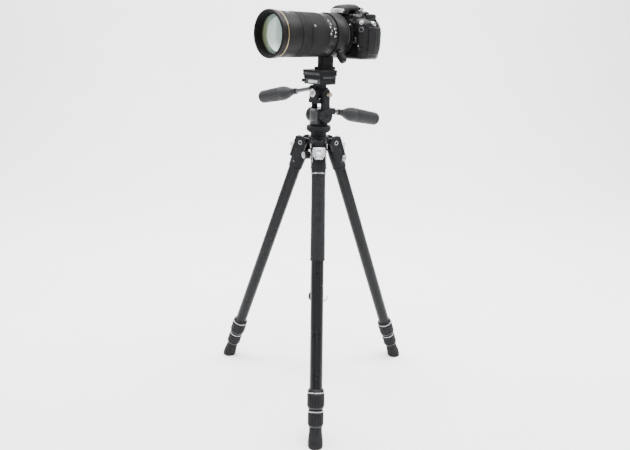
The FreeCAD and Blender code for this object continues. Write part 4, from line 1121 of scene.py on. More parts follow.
def lens_marks():
    """Distance, zoom and roll scales; the figures are plain numbers."""
    top = math.pi / 2
    r, front_r, ring_r = SCALE_R, 44.7, 44.92
    left_front = top + 0.5
    zoom = []
    for k, label in enumerate(("70", "100", "135", "200")):
        angle = top - 0.28 + 0.3 * k
        zoom += digits(label, 11.0, angle * r, 3.0)
        zoom.append([(14.6, angle * r), (16.6, angle * r)])
    marks_on_barrel("zoom_scale_figures", zoom, r, "white", "camera", "white_mark", 0.36)
    index = [[(-5.6, left_front * r), (-1.0, left_front * r)]]
    marks_on_barrel("roll_index_line", index, r, "white", "camera", "white_mark", 0.6)
    near = []
    for k, label in enumerate(("2", "3", "5", "8")):
        angle = top + 0.3 + 0.16 * k
        near += digits(label, 103.0, angle * front_r, 2.4)
        near.append([(105.6, angle * front_r), (106.8, angle * front_r)])
    marks_on_barrel("distance_scale_figures", near, 44.72, "white", "camera", "white_mark", 0.3)
    # A bright steel stroke behind the rim: a badge set where a glint shows there, so partly painted
    # highlight.
    marks_on_barrel("rim_badge_and_painted_glint", [[(108.0, 1.16 * front_r), (108.0, 1.36 * front_r)]], 44.74, "steel",
        "camera", "steel", 1.6)
    marks_on_barrel("zoom_ring_line", [[(56.0, -0.17 * ring_r), (56.0, 0.33 * ring_r)]], ring_r, "cast_dark",
        "zoom", "cast_black", 0.7)
    marks_on_barrel("zoom_ring_figures", digits("70", 56.0, 0.41 * ring_r, 3.2, True), ring_r, "label",
        "zoom", "white_mark", 0.4)
    side = []
    for k, label in enumerate(("2", "3", "5", "7", "8")):
        arc = (0.7 - 0.16 * k) * r
        side += digits(label, 13.0 - 3.0 * (k % 2), arc, 3.4, True)
    for k, label in enumerate(("5", "3", "2")):
        side += digits(label, 2.0 - 1.6 * (k % 2), (0.3 - 0.17 * k) * r, 3.4, True)
        side.append([(-3.4, (0.3 - 0.17 * k) * r), (-1.6, (0.3 - 0.17 * k) * r)])
    marks_on_barrel("side_scale_figures", side, r, "white", "camera", "white_mark", 0.55)
    for k in range(2):
        switch_place = lens_side(-0.34 - 0.34 * k, 43.4, 9.0)
        settle(slab(f"lens_switch_bed_{k}", switch_place, (-5.4, 5.4, -4.0, 4.0, -0.6, 0.5), "plastic", 0.3),
            "camera", slot="lens_black")
        settle(slab(f"lens_switch_slider_{k}", switch_place, (-0.4, 2.6, -1.6, 1.6, 0.3, 1.7), "plastic",
            0.35), "camera")


def collar():
    repaint("lens_collar", "lens", 0.5)
    for tag, (a, b) in {"front": (-10.4, -8.5), "rear": (-39.3, -37.4)}.items():
        settle(lathe(f"collar_{tag}_lip", LENS, [(a, 44.0), (a, 45.8), (a + 0.3, 46.2), (b - 0.3, 46.2),
            (b, 45.8), (b, 44.0), (a, 44.0)], "lens", 168), "plate")
    settle(disc_head("collar_index_dot", lens_side(math.pi / 2 + 0.5, 45.55, -12.6), 0.9, 0.15, "white", 0.05,
        32), "plate")
    settle(lathe("collar_hinge_boss", lens_side(math.pi - KNOB_TURN, 45.0, COLLAR_MIDDLE), [(-1, 0),
        (-1, 6.0), (1.6, 6.0), (2.2, 5.4), (2.2, 0)], "lens", 72), "plate")
    settle(socket_screw("collar_hinge_screw", lens_side(math.pi - KNOB_TURN, 47.0, COLLAR_MIDDLE), 2.6, 1.2),
        "plate")
    knob_place = lens_side(KNOB_TURN, 0, COLLAR_MIDDLE)
    settle(lathe("collar_knob_base", knob_place, [(45.9, 0), (45.9, 5.2), (50.4, 5.2), (51.0, 4.8),
        (51.0, 0)], "dark_steel", 72), "collar_knob", "collar_knob")
    # The knob grip and cap take the deepest black, darker than the knob's plastic: painted shade, against the
    # light the floor throws up under the lens.
    settle(ribbed("collar_knob_grip", knob_place, 50.8, 68.6, 8.6, 3.0, "cast_dark", 18, 0.6, edge=0.9,
        land=1.8, fine=8, shape=wave), "collar_knob", "collar_knob", slot="knob_plastic")
    settle(disc_head("collar_knob_cap", raised(knob_place, 68.2), 7.0, 2.6, "cast_dark", 0.6, 72),
        "collar_knob", "collar_knob", slot="knob_plastic")


lens_barrels()
front_rim()
lens_glass()
grip_ring("zoom_ring", 19.2, 64.8, 44.6, "zoom", "zoom_ring", ((22.0, 62.4),), 120, 0.4)
grip_ring("focus_ring", 65.4, 91.4, 44.6, "focus", "focus_ring", ((68.2, 88.8),), 132, 0.4)
lens_marks()
collar()

# ---- camera, in the head frame: +X ahead, +Y to the left, +Z up ----------------------------------
BOTTOM = 784.0
TOP = 866.0
SHOE_TOP = 886.6
BODY_PLAN = [(-60, 8), (-60, 24), (-60, 38), (-60.5, 51), (-65, 62.5), (-76, 69), (-92, 70.5), (-107, 68.5),
    (-119, 61), (-125, 47), (-126.5, 30), (-127, 10), (-127, -12), (-127, -34), (-125.5, -52), (-120, -67),
    (-107, -75.5), (-90, -77.5), (-72, -77.5), (-54, -76.5), (-43, -71), (-38.5, -62), (-43, -52.5),
    (-52.5, -46), (-59, -37), (-60, -24), (-60, -8)]
# Above the shoulders the hand grip falls back to the body and the left end draws in.
SHOULDER_PLAN = [(-62, 8), (-62, 24), (-62, 36), (-64, 47), (-70, 57), (-80, 63), (-93, 64.5), (-106, 62),
    (-116, 55), (-122, 44), (-124, 30), (-125, 10), (-125, -12), (-124, -34), (-122, -51), (-116, -63),
    (-105, -70.5), (-90, -72.5), (-78, -72.5), (-70, -71), (-65, -66), (-63, -58), (-63.5, -50), (-64.5, -43),
    (-63.5, -35), (-62, -24), (-62, -8)]
SHOULDER_LOW, SHOULDER_HIGH = 846.0, 866.0
PLAN_COUNT = len(BODY_PLAN)


def inset_at(z):
    """How far the wall lies inside the plan at a height: rounded below, fuller midway, rolled in above."""
    table = ((BOTTOM, 3.4), (BOTTOM + 0.5, 2.0), (BOTTOM + 1.6, 0.9), (BOTTOM + 4, 0.1), (800, -0.5),
        (822, -1.0), (842, -0.4), (850, 0.0), (856, 0.5), (860, 1.2), (863, 2.6), (865, 5.0), (TOP, 8.6))
    for (low, a), (high, b) in zip(table, table[1:]):
        if z <= high:
            t = (z - low) / (high - low)
            return a + (b - a) * max(0.0, t)
    return table[-1][1]


def plan_at(u, z):
    """Point and outward normal of the body's plan at a station u (in control points) and a height."""
    blend = min(1.0, max(0.0, (z - SHOULDER_LOW) / (SHOULDER_HIGH - SHOULDER_LOW))) ** 1.6
    index = int(math.floor(u))
    t = u - index
    knots = []
    for k in (-1, 0, 1, 2):
        a = BODY_PLAN[(index + k) % PLAN_COUNT]
        b = SHOULDER_PLAN[(index + k) % PLAN_COUNT]
        knots.append(Vector(a).lerp(Vector(b), blend))
    p0, p1, p2, p3 = knots
    point = 0.5 * ((2 * p1) + (p2 - p0) * t + (2 * p0 - 5 * p1 + 4 * p2 - p3) * t ** 2
        + (3 * p1 - p0 - 3 * p2 + p3) * t ** 3)
    slope = 0.5 * ((p2 - p0) + (4 * p0 - 10 * p1 + 8 * p2 - 2 * p3) * t + (9 * p1 - 3 * p0 - 9 * p2 + 3 * p3)
        * t ** 2)
    normal = Vector((slope.y, -slope.x)).normalized()
    return point, normal


def left_lean(z):
    """The left end bulges at mid-height and draws in towards the base."""
    low = max(0.0, (824.0 - z) / (824.0 - BOTTOM))
    high = max(0.0, (z - 836.0) / (TOP - 836.0))
    return 6.5 * low ** 1.8 + 2.0 * high ** 2 - 1.2


def shell_point(u, z, lift=0.0):
    point, normal = plan_at(u, z)
    out = lift - inset_at(z) - left_lean(z) * max(0.0, normal.y) ** 2
    return Vector((point.x + normal.x * out, point.y + normal.y * out, z))


def shell_place(u, z, lift=0.0):
    """A frame on the shell's surface, +Z outward, +Y nearly up."""
    here = shell_point(u, z, lift)
    du = shell_point(u + 0.05, z, lift) - shell_point(u - 0.05, z, lift)
    dz = shell_point(u, z + 0.4, lift) - shell_point(u, z - 0.4, lift)
    z_axis = du.cross(dz).normalized()
    x_axis = du.normalized()
    y_axis = z_axis.cross(x_axis)
    turn = Matrix((x_axis, y_axis, z_axis)).transposed().to_4x4()
    return HEAD @ Matrix.Translation(here) @ turn


def camera_shell():
    heights = [BOTTOM, BOTTOM + 0.5, BOTTOM + 1.6, BOTTOM + 4, 792, 800, 810, 822, 832, 842, 846, 850, 853,
        856, 858, 860, 861.6, 863, 864, 865, 865.6, TOP]
    rings = []
    for z in heights:
        rings.append([shell_point(PLAN_COUNT * k / 270.0, z) for k in range(270)])
    settle(loft("camera_shell", HEAD, rings, "camera", crease=50), "camera", "camera_body")
    settle(loft("camera_base_plate", HEAD,
        [[shell_point(PLAN_COUNT * k / 180.0, BOTTOM, -2.4) + Vector((0, 0, dz)) for k in range(180)]
        for dz in (0.6, -0.5)] + [[shell_point(PLAN_COUNT * k / 180.0, BOTTOM, -3.4) + Vector((0, 0, -0.8))
        for k in range(180)]], "cast_dark"), "camera", slot="camera_black")


def skin(name, u0, u1, z0, z1, lift, material, body, slot, across=40, up=24, corner=0.14, fold=None,
        replaced=()):
    """A patch that lies on the shell with rounded corners and a rolled edge. fold(s, t) adds height."""
    bm = bmesh.new()
    verts = []
    for j in range(up + 1):
        line = []
        for i in range(across + 1):
            s, t = i / across, j / up
            # The patch's corners are rounded by pulling its rows in towards both ends.
            end = max(0.0, abs(t - 0.5) * 2 - (1 - 2 * corner)) / (2 * corner)
            pull = corner * (1 - math.sqrt(max(0.0, 1 - end ** 2))) * 0.55
            ss = pull + s * (1 - 2 * pull)
            border = min(i, across - i, j, up - j)
            height = {0: -0.5, 1: lift * 0.75}.get(border, lift)
            if fold and border > 2:
                height += fold(s, t)
            line.append(bm.verts.new(shell_point(u0 + (u1 - u0) * ss, z0 + (z1 - z0) * t, height)))
        verts.append(line)
    for j in range(up):
        for i in range(across):
            bm.faces.new((verts[j][i], verts[j][i + 1], verts[j + 1][i + 1], verts[j + 1][i]))
    border = [e for e in bm.edges if len(e.link_faces) == 1]
    bmesh.ops.edgeloop_fill(bm, edges=border)
    return settle(finish_mesh(name, bm, HEAD, material, 60), body, *replaced, slot=slot)


def arch(x, half, low, high, power=2.6, count=36):
    """A cross-section of the prism housing at a station x: a rounded arch standing on a flat base."""
    ring = []
    for k in range(count + 1):
        angle = math.pi * k / count
        c, s = math.cos(angle), math.sin(angle)
        y = half * math.copysign(abs(c) ** (2 / power), c)
        z = low + (high - low) * abs(s) ** (2 / power)
        ring.append(Vector((x, y, z)))
    return ring


def prism():
    """The fixed housing, from behind the lens mount to the eyepiece."""
    stations = ((-54.5, 17, 866, 873.6), (-56, 22, 862, 879.2), (-60, 27, 860, 882.6), (-72, 31, 858, 883.4),
        (-90, 31, 858, 883.6), (-92.4, 30.6, 858, 883.8), (-93.4, 30.0, 858, 886.6), (-98, 29, 858, 887.0),
        (-110, 26, 858, 886.6), (-118, 23.5, 858, 885.4), (-123, 21.5, 858, 882.6), (-127, 20, 858, 877.5),
        (-128.4, 18.6, 860, 873))
    rings = [arch(*station) for station in stations]
    settle(loft("prism_housing", HEAD, rings, "camera", crease=38), "camera", "camera_body")
    # The brow joins the front of the housing to the mount.
    brow = [arch(x, half, low, high, 2.2) for x, half, low, high in ((-53.4, 12, 858, 866),
        (-54.2, 19, 852, 871), (-56.5, 27, 846, 876), (-60, 34, 842, 876), (-66, 40, 840, 874),
        (-74, 44, 840, 868.5), (-80, 46, 840, 866.2))]
    settle(loft("prism_brow", HEAD, brow, "camera", crease=45), "camera", "camera_body")


def flash():
    """The pop-up flash head: a helmet over the prism whose front face hangs down to the mount's brow, and a
    front plate."""
    shell = [arch(x, half, low, high, power) for x, half, low, high,
        power in ((-43.4, 13.0, 877.4, 884.0, 2.2), (-44.0, 17.5, 875.6, 887.4, 2.3),
        (-45.4, 20.8, 874.6, 889.8, 2.4), (-48.4, 23.6, 874.2, 891.8, 2.5), (-53.2, 26.0, 874.4, 893.2, 2.6),
        (-54.2, 26.3, 875.0, 893.5, 2.6), (-56.3, 26.8, 880.4, 893.9, 2.6), (-60.2, 27.4, 883.2, 894.5, 2.6),
        (-68, 28.4, 883.9, 895.6, 2.6), (-78, 28.6, 884.0, 896.4, 2.6), (-86, 28.0, 884.2, 896.4, 2.6),
        (-89.6, 27.0, 884.6, 895.4, 2.5), (-91.6, 25.6, 885.2, 893.2, 2.4))]
    settle(loft("flash_helmet", HEAD, shell, "helmet", crease=40), "flash", "popup_flash")
    # The front plate's light grey is a painted highlight on the black flash.
    plate = [arch(x, half, low, high, power) for x, half, low, high,
        power in ((-42.7, 11.5, 878.8, 883.0, 2.2), (-43.1, 15.0, 877.6, 885.4, 2.4),
        (-44.4, 18.8, 877.2, 887.4, 2.6), (-46.4, 21.0, 878.0, 888.6, 2.8), (-49.4, 21.4, 881.0, 889.0, 2.8),
        (-52.4, 21.0, 884.0, 889.0, 2.8))]
    settle(loft("flash_front_plate", HEAD, plate, "flash_painted_highlight", crease=50), "flash")
    for side, tag in SIDES:
        settle(lathe(f"flash_hinge_{tag}", along(HEAD, (-88.5, side * 25.4, 888), (0, side, 0)), [(-1, 0),
            (-1, 2.2), (2.4, 2.2), (3.0, 1.6), (3.0, 0)], "camera", 40), "flash")


def hot_shoe():
    """The accessory shoe: a chrome channel with turned-in rails and its contacts."""
    z = SHOE_TOP
    base = slab("shoe_base", HEAD, (-119.2, -100.6, -11, 11, z - 1.6, z + 1.0), "chrome", 0.3)
    pieces = []
    for side in (-1, 1):
        a, b = sorted((side * 9.0, side * 10.7))
        pieces.append(slab("rail", HEAD, (-118.8, -101, a, b, z + 0.6, z + 4.0), "chrome", 0.3))
        a, b = sorted((side * 6.4, side * 10.4))
        pieces.append(slab("lip", HEAD, (-118.8, -101, a, b, z + 3.1, z + 4.1), "chrome", 0.3))
    pieces.append(slab("stop", HEAD, (-102.4, -101, -9, 9, z + 0.8, z + 3.0), "chrome", 0.3))
    settle(join(base, pieces), "camera", "camera_body", slot="chrome")
    settle(slab("shoe_insulator", HEAD, (-117, -103, -6.0, 6.0, z + 0.8, z + 1.3), "cast_dark", 0.2),
        "camera", slot="camera_black")
    for k, (dx, dy, r) in enumerate(((0, 0, 1.5), (4.2, 3.2, 0.8), (4.2, -3.2, 0.8), (-3.6, 3.2, 0.8))):
        settle(disc_head(f"shoe_contact_{k}", along(HEAD, (-110 + dx, dy, z + 1.2), (0, 0, 1)), r, 0.35,
            "gold", 0.1, 32), "camera")


def mount():
    """The raised ring and bright flange that the lens locks into."""
    settle(lathe("mount_ring", LENS, [(-66, 30), (-66, 40.5), (-60.6, 39.6), (-58.6, 38.6), (-57.4, 37.4),
        (-56.9, 36.2), (-56.5, 35.4), (-56.0, 35.0), (-55.6, 34.2), (-55.6, 30), (-66, 30)], "camera", 168),
        "camera", "camera_body")
    settle(lathe("mount_flange", LENS, [(-57, 24), (-57, 34.0), (-53.4, 34.0), (-52.9, 33.6), (-52.1, 33.5),
        (-52.1, 24), (-57, 24)], "dark_steel", 168), "camera", "camera_body")
    dot_angle = math.radians(38)
    settle(disc_head("mount_index_dot", along(LENS, (36.6 * math.cos(dot_angle), 36.6 * math.sin(dot_angle),
        -56.9), (0.3 * math.cos(dot_angle), 0.3 * math.sin(dot_angle), 1)), 1.25, 0.35, "white", 0.15, 40),
        "camera")
    release_place = along(HEAD, (-59.6, 43.5, 822.0), (1, 0, 0))
    settle(lathe("lens_release_well", release_place, [(-1, 0), (-1, 7.4), (0.9, 7.4), (1.5, 6.9), (1.5, 6.3),
        (0.4, 6.1), (0.4, 0)], "camera", 72), "camera")
    settle(disc_head("lens_release_button", raised(release_place, 0.2), 5.7, 3.6, "camera_gloss", 0.5, 72),
        "camera")
    settle(disc_head("lens_release_bead", raised(release_place, 4.0), 1.1, 0.4, "camera", 0.3, 32), "camera")


def round_cap(name, u, z, radius, ring="dark_steel", face="camera"):
    """A terminal with a bright ring around its screwed-in cap."""
    place = shell_place(u, z)
    settle(lathe(name + "_ring", place, [(-1.5, radius + 1.4), (0.5, radius + 1.4), (1.0, radius + 1.0),
        (1.0, radius + 0.2), (-1.5, radius + 0.2), (-1.5, radius + 1.4)], ring, 72), "camera",
        slot="steel_dark")
    settle(ribbed(name + "_cap", raised(place, 0), -1.4, 2.0, radius, 0.5, "camera", 36, 0.2, edge=0.35,
        land=0.8, fine=6, shape=wave), "camera", slot="camera_rubber")
    settle(disc_head(name + "_face", raised(place, 1.7), radius - 0.5, 0.45, face, 0.15, 60), "camera",
        slot="camera_rubber")
    # The cap's slot is not cut: a thin deepest-black bar on its face paints the slot's shade.
    across = radius * 0.6
    settle(slab(name + "_painted_shade_slot", raised(place, 2.2), (-across, across, -0.35, 0.35, -0.1, 0.12), "cast_dark",
        0), "camera", slot="camera_black")


def push_button(name, place, radius, tall, body="camera", well=True, mark=None):
    if well:
        settle(lathe(name + "_well", place, [(-0.8, 0), (-0.8, radius + 0.9), (0.25, radius + 0.9),
            (0.45, radius + 0.6), (0.1, radius + 0.25), (-0.2, radius + 0.2), (-0.2, 0)], "cast_dark", 60),
            body, slot="camera_black")
    settle(disc_head(name, raised(place, -0.4), radius, tall + 0.4, "camera_gloss", 0.25, 60), body)
    if mark:
        settle(slab(name + "_sign", raised(place, tall + 0.22), (-radius * 0.35, radius * 0.35, -0.14, 0.14,
            0, 0.08), mark, 0), body, slot="white_mark")


def eyelet(tag, u, z):
    """A lug on the shoulder with a split strap ring through it."""
    place = shell_place(u, z)
    settle(slab(f"eyelet_{tag}_lug", place, (-3.4, 3.4, -3.6, 3.6, -2.0, 1.2), "dull_steel", 0.9, 3),
        "camera", slot="steel")
    settle(lathe(f"eyelet_{tag}_post", raised(place, 1.0), [(0, 0), (0, 2.2), (2.2, 2.2), (2.8, 1.7),
        (3.2, 0)], "steel", 48), "camera")
    points = [(4.0 * math.cos(TAU * k / 40), -3.6 + 4.4 * math.sin(TAU * k / 40),
        3.0 + 0.4 * math.sin(TAU * k / 20)) for k in range(40)]
    settle(sweep(f"eyelet_{tag}_ring", place, points, 0.75, "dull_steel", 16, closed=True), "camera",
        slot="steel")


def left_side():
    """Front-left controls, the connector door with its folds, and the left eyelet."""
    skin("left_front_leather", 3.15, 4.7, 789, 846, 0.5, "leather", "camera", "camera_rubber", 26, 30, 0.1)
    round_cap("sync_terminal", 3.55, 858.0, 3.4, ring="dull_steel", face="dull_steel")
    round_cap("remote_terminal", 3.6, 844.0, 3.9)
    selector = shell_place(3.4, 808.0)
    settle(lathe("focus_selector_base", selector, [(-1, 0), (-1, 6.6), (0.8, 6.6), (1.4, 6.0), (1.4, 0)],
        "camera", 72), "camera")
    settle(slab("focus_selector_lever", selector @ Matrix.Rotation(0.5, 4, "Z"),
        (-1.7, 1.7, -5.6, 6.8, 1.2, 3.4), "camera_gloss", 0.8, 3), "camera")
    settle(slab("focus_selector_line", selector @ Matrix.Rotation(0.5, 4, "Z"),
        (-0.25, 0.25, 1.6, 5.4, 3.36, 3.46), "white", 0), "camera")

    def folds(s, t):
        edge = abs(s - 0.34)
        ridge = abs(s - 0.68)
        value = -0.75 * math.exp(-(edge / 0.022) ** 2) - 0.6 * math.exp(-(ridge / 0.02) ** 2)
        return value + 0.35 * math.exp(-((s - 0.4) / 0.04) ** 2)

    skin("connector_door", 4.85, 7.55, 791.5, 850, 1.3, "leather", "terminal_cover", "camera_rubber", 84, 36,
        0.08, folds, ("terminal_cover",))
    for k, z in enumerate((806.0, 836.0)):
        settle(slab(f"connector_door_nib_{k}", shell_place(7.35, z, 1.2), (-1.2, 1.2, -4.0, 4.0, -0.6, 0.7),
            "leather", 0.4, 3), "terminal_cover")
    eyelet("left", 5.6, 857.5)
    push_button("flash_button", along(HEAD, (-66.0, 31.2, 872.5), (0.2, 1, 0.35)), 2.7, 1.0, mark="white")
    push_button("bracket_button", along(HEAD, (-60.4, 37.5, 858.0), (1, 0.35, 0.1)), 2.1, 0.9)


def hand_grip():
    """Leather on the grip and the right side, the sub dial, and the front buttons."""
    skin("grip_leather", 17.1, 23.8, 788, 847, 0.6, "leather", "camera", "camera_rubber", 90, 36, 0.08)
    skin("card_door_skin", 15.35, 16.95, 799, 850, 1.2, "leather", "card_door", "camera_rubber", 40, 30, 0.08,
        None, ("card_door",))
    eyelet("right", 18.2, 857.0)
    wheel_place = along(HEAD, (-43.6, -61.5, 851.5), (0, 1, 0))
    settle(ribbed("front_wheel", wheel_place, -5.5, 5.5, 5.6, 1.0, "plastic", 26, 0.4, edge=0.5, land=1.0,
        fine=6, shape=wave), "camera")
    for k, z in enumerate((826.0, 812.0)):
        push_button(f"front_function_{k}", along(HEAD, (-58.8, -39.8, z), (1, 0.1, 0)), 2.8, 1.2)
    settle(disc_head("assist_lamp", along(HEAD, (-59.6, -38.0, 850.0), (1, 0, 0.1)), 3.2, 0.8, "screen", 0.5,
        60), "camera")


def top_plate():
    """Right shoulder: release, power ring, display and buttons. Left shoulder: the mode dial."""
    deck = TOP - 0.05
    slope = along(HEAD, (-54, -61, 860.4), (0.34, 0, 1))
    settle(ribbed("power_ring", slope, -2.0, 2.6, 9.2, 5.4, "plastic", 36, 0.35, edge=0.5, land=1.0, fine=6,
        shape=wave), "camera", slot="camera_black")
    settle(slab("power_lever", slope, (5.0, 11.6, -2.0, 2.0, 0.2, 2.4), "plastic", 0.7, 3), "camera",
        slot="camera_black")
    settle(disc_head("release_button", along(HEAD, (-54, -61, 857.5), (0, 0, 1)), 5.0, 7.3, "camera_gloss",
        -0.35, 72), "shutter", "shutter_button")
    settle(slab("top_display", HEAD, (-104, -80, -63, -31, deck - 0.6, deck + 0.9), "screen", 0.6, 3),
        "camera")
    settle(slab("top_display_frame", HEAD, (-106, -78, -65, -29, deck - 0.9, deck + 0.35), "camera_gloss",
        0.5, 3), "camera")
    for k, (x, y) in enumerate(((-72.5, -50), (-70.5, -66), (-72.5, -36))):
        push_button(f"top_button_{k}", along(HEAD, (x, y, deck - (0.8 if k == 1 else 0)), (0.05, 0, 1)), 2.5,
            1.3, mark="white")
    dial_place = along(HEAD, (-98, 52, 866.0), (0, 0, 1))
    settle(lathe("mode_dial_seat", dial_place, [(-4, 0), (-4, 12.6), (-0.6, 12.6), (0.1, 12.0), (0.1, 0)],
        "camera", 96), "camera")
    settle(ribbed("mode_dial_knurl", dial_place, 0.5, 7.0, 11.0, 4.0, "plastic", 44, 0.45, edge=0.5, land=1.0,
        fine=6, shape=wave), "mode_dial", "mode_dial")
    settle(lathe("mode_dial_crown", dial_place, [(6.6, 0), (6.6, 10.4), (8.4, 10.2), (9.2, 9.4), (9.4, 8.8),
        (9.0, 8.4), (9.0, 0)], "camera", 96), "mode_dial", "mode_dial")
    for k in range(3):
        angle = TAU * k / 3 + 0.5
        spot = along(dial_place, (4.6 * math.cos(angle), 4.6 * math.sin(angle), 8.9), (0, 0, 1))
        push_button(f"dial_key_{k}", spot, 3.2, 1.4, "mode_dial", well=False, mark="white")
    pieces = []
    for k in range(12):
        spot = dial_place @ Matrix.Rotation(TAU * k / 12, 4, "Z")
        pieces.append(slab("mark", spot, (9.0, 10.0, -0.18, 0.18, 9.02, 9.34), "white", 0))
    settle(join_named("mode_dial_marks", pieces), "mode_dial", slot="white_mark")
    settle(ribbed("diopter_wheel", along(HEAD, (-116, 22.6, 877), (0, 1, 0.25)), -2, 2.6, 5.0, 1.0, "plastic",
        24, 0.35, edge=0.4, land=0.8, fine=6, shape=wave), "camera")
    speaker = [disc_head("hole", along(HEAD, (-112 + 2.0 * (k % 3), 36 + 2.0 * (k // 3), deck - 0.1),
        (0, 0, 1)), 0.55, 0.16, "cast_dark", 0, 16) for k in range(9)]
    settle(join_named("speaker_holes", speaker), "camera", slot="camera_black")


def back():
    """Eyepiece, rear screen, its column of buttons, the pad, the rear wheel and the thumb rest."""
    cup = [(-127.0, 18.6, 12.0), (-129.0, 18.4, 11.8), (-131.4, 18.6, 12.0), (-132.6, 17.9, 11.3),
        (-132.8, 16.8, 10.2), (-132.0, 14.6, 8.4), (-129.6, 13.2, 7.2), (-129.0, 12.6, 6.6)]
    rings = []
    for x, half, tall in cup:
        ring = []
        for k in range(72):
            angle = TAU * k / 72
            c, s = math.cos(angle), math.sin(angle)
            ring.append(Vector((x, half * math.copysign(abs(c) ** 0.62, c),
                871.5 + tall * math.copysign(abs(s) ** 0.62, s))))
        rings.append(ring)
    settle(loft("eyecup", HEAD, rings, "lock", cap_high=False, crease=40), "camera", "camera_body")
    settle(slab("eyepiece_window", HEAD, (-129.4, -128.6, -12.4, 12.4, 865.2, 877.8), "screen", 0.3),
        "camera")
    settle(slab("screen_bezel", HEAD, (-128.6, -124.0, -34.5, 38.0, 789.5, 845.5), "camera_gloss", 1.4, 4),
        "camera")
    settle(slab("rear_screen", HEAD, (-129.0, -128.0, -31.0, 34.5, 792.8, 842.2), "screen", 0.3, 3), "camera")
    for k in range(5):
        z = 796.0 + 10.6 * k
        push_button(f"menu_button_{k}", along(HEAD, (-126.0, 46.6, z), (-1, 0.1, 0)), 3.0, 1.2, mark="white")
    pad = along(HEAD, (-127.4, -50.0, 829.0), (-1, -0.05, 0))
    settle(lathe("selector_pad_ring", pad, [(-2, 0), (-2, 11.4), (0.4, 11.4), (1.0, 10.8), (1.0, 9.8),
        (0.2, 9.4), (0.2, 0)], "camera", 96), "camera")
    settle(lathe("selector_pad", pad, [(0, 0), (0, 8.9), (1.4, 8.9), (2.0, 8.2), (1.6, 5.0), (1.1, 3.4),
        (1.1, 0)], "camera_gloss", 96), "camera")
    push_button("selector_centre", raised(pad, 1.0), 2.8, 1.0, well=False)
    lock_place = along(HEAD, (-127.0, -50.0, 808.0), (-1, -0.05, 0))
    settle(lathe("lock_disc", lock_place, [(-2, 0), (-2, 5.6), (0.9, 5.6), (1.4, 5.0), (1.4, 0)], "plastic",
        72), "camera", slot="camera_black")
    settle(slab("lock_tab", lock_place, (-1.3, 1.3, 0.5, 6.6, 1.0, 2.6), "plastic", 0.5, 3), "camera",
        slot="camera_black")
    push_button("focus_on_button", along(HEAD, (-126.6, -42.0, 852.0), (-1, 0, 0.12)), 3.6, 1.5, mark="white")
    push_button("metering_button", along(HEAD, (-127.2, -28.0, 853.5), (-1, 0, 0.12)), 3.0, 1.4)
    settle(ribbed("rear_wheel", along(HEAD, (-118, -60, 854), (0, 0, 1)), 0, 6.0, 11.0, 2.0, "plastic", 48,
        0.5, edge=0.6, land=0.9, fine=6, shape=wave), "command_dial", "command_dial")
    skin("thumb_rest", 13.6, 15.1, 788, 818, 1.4, "leather", "camera", "camera_rubber", 30, 24, 0.16)
    settle(slab("access_lamp", along(HEAD, (-127.4, -40.5, 797.5), (-1, 0, 0)),
        (-2.2, 2.2, -0.8, 0.8, -0.4, 0.35), "screen", 0.25), "camera")


def underside():
    """Tripod socket, battery door with its latch, two screws and a rubber rest."""
    place = along(HEAD, (-90, 0, BOTTOM), (0, 0, -1))
    settle(lathe("base_thread_socket", place, [(-8.0, 4.8), (-8.0, 3.2)] + [(-7.6 + 0.635 * k,
        3.2 + 0.42 * (k % 2)) for k in range(14)] + [(1.0, 3.7), (1.4, 4.2), (1.4, 8.0), (1.0, 8.4),
        (0.0, 8.4), (0.0, 4.8), (-8.0, 4.8)], "steel", 96, crease=25), "camera")
    settle(disc_head("base_thread_bottom", raised(place, -8.2), 3.6, 0.4, "cast_dark", 0, 40), "camera",
        slot="camera_black")
    settle(slab("base_rubber_rest", HEAD, (-118, -72, 12, 56, BOTTOM - 1.6, BOTTOM - 0.4), "lock", 0.5, 3),
        "camera")
    settle(slab("battery_door_leaf", HEAD, (-112, -64, -74 + 1.5, -46, BOTTOM - 1.5, BOTTOM + 2.0), "camera",
        0.8, 4), "battery_door", "battery_door")
    settle(slab("battery_door_latch", HEAD, (-93, -81, -50.5, -47.0, BOTTOM - 2.0, BOTTOM - 1.0), "plastic",
        0.4, 3), "battery_door")
    for k, (x, y) in enumerate(((-112, 4), (-70, -30), (-68, 58), (-116, 40))):
        settle(cross_screw(f"base_screw_{k}", along(HEAD, (x, y, BOTTOM - 0.7), (0, 0, -1)), 1.7), "camera")


camera_shell()
prism()
flash()
hot_shoe()
mount()
left_side()
hand_grip()
top_plate()
back()
underside()

# ---- floor, light and camera ---------------------------------------------------------------------


def floor_material():
    look = Look("studio_floor", (0.93, 0.93, 0.93), 0.75)
    look.mottle(0.012, 260)
    look.bump(look.noise(3.0, 3.0), 0.02, 0.15)
    return look.material


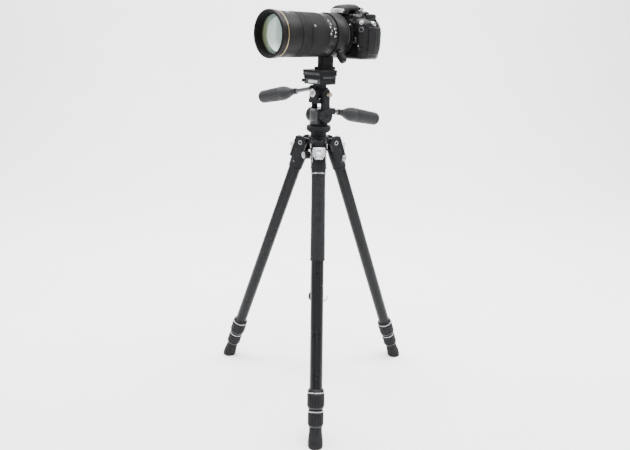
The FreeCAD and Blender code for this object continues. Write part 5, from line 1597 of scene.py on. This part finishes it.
def stage():
    """A pale sweep that curves up behind the tripod."""
    bm = bmesh.new()
    start, radius, top = 1.6, 1.5, 6.0
    profile = [(-6.0, 0.0), (start, 0.0)]
    for k in range(1, 17):
        angle = math.radians(90 * k / 16)
        profile.append((start + radius * math.sin(angle), radius - radius * math.cos(angle)))
    profile.append((start + radius, top))
    rows = [[bm.verts.new((x, y, z)) for x in (-7.0, 7.0)] for y, z in profile]
    for low, high in zip(rows, rows[1:]):
        bm.faces.new((low[0], low[1], high[1], high[0]))
    for face in bm.faces:
        face.smooth = True
    mesh = bpy.data.meshes.new("studio_sweep")
    bm.to_mesh(mesh)
    bm.free()
    mesh.materials.append(floor_material())
    sweep_object = bpy.data.objects.new("studio_sweep", mesh)
    bpy.context.scene.collection.objects.link(sweep_object)


def softbox(name, place, target, size, power):
    light = bpy.data.lights.new(name, "AREA")
    light.shape = "RECTANGLE"
    light.size, light.size_y = size
    light.energy = power
    obj = bpy.data.objects.new(name, light)
    obj.location = place
    obj.rotation_euler = (Vector(target) - Vector(place)).to_track_quat("-Z", "Y").to_euler()
    bpy.context.scene.collection.objects.link(obj)


def lights():
    world = bpy.data.worlds.new("studio")
    bpy.context.scene.world = world
    world.use_nodes = True
    background = world.node_tree.nodes["Background"]
    background.inputs["Color"].default_value = (0.93, 0.95, 1.0, 1)
    background.inputs["Strength"].default_value = 0.9
    softbox("key_left", (-1.9, -1.5, 1.7), (0, 0, 0.6), (0.9, 1.9), 30)
    softbox("key_right", (2.0, -1.1, 1.5), (0, 0, 0.6), (0.8, 1.9), 24)
    softbox("top", (0.1, 0.1, 2.7), (0, 0, 0.0), (2.4, 2.0), 230)
    softbox("front_low", (0.3, -2.8, 0.9), (0, 0, 0.5), (1.4, 0.8), 12)
    softbox("backdrop_left", (-1.7, 0.7, 2.4), (-0.9, 2.6, 0.3), (1.2, 1.2), 90)
    softbox("backdrop_right", (1.7, 0.7, 2.4), (0.9, 2.6, 0.3), (1.2, 1.2), 90)


CAMERA_AT = (-0.04516, -1.27079, 0.8305)
CAMERA_TURN, CAMERA_DOWN = math.radians(-1.8), math.radians(90 - 17.48)
CAMERA_ROLL = 0.023


def camera():
    lens = bpy.data.cameras.new("view")
    lens.sensor_width = 36.0
    lens.lens = 34.43
    obj = bpy.data.objects.new("view", lens)
    turned = Matrix.Translation(CAMERA_AT) @ Matrix.Rotation(CAMERA_TURN, 4, "Z")
    obj.matrix_world = turned @ Matrix.Rotation(CAMERA_DOWN, 4, "X") @ Matrix.Rotation(CAMERA_ROLL, 4, "Z")
    bpy.context.scene.collection.objects.link(obj)
    bpy.context.scene.camera = obj


stage()
lights()
camera()
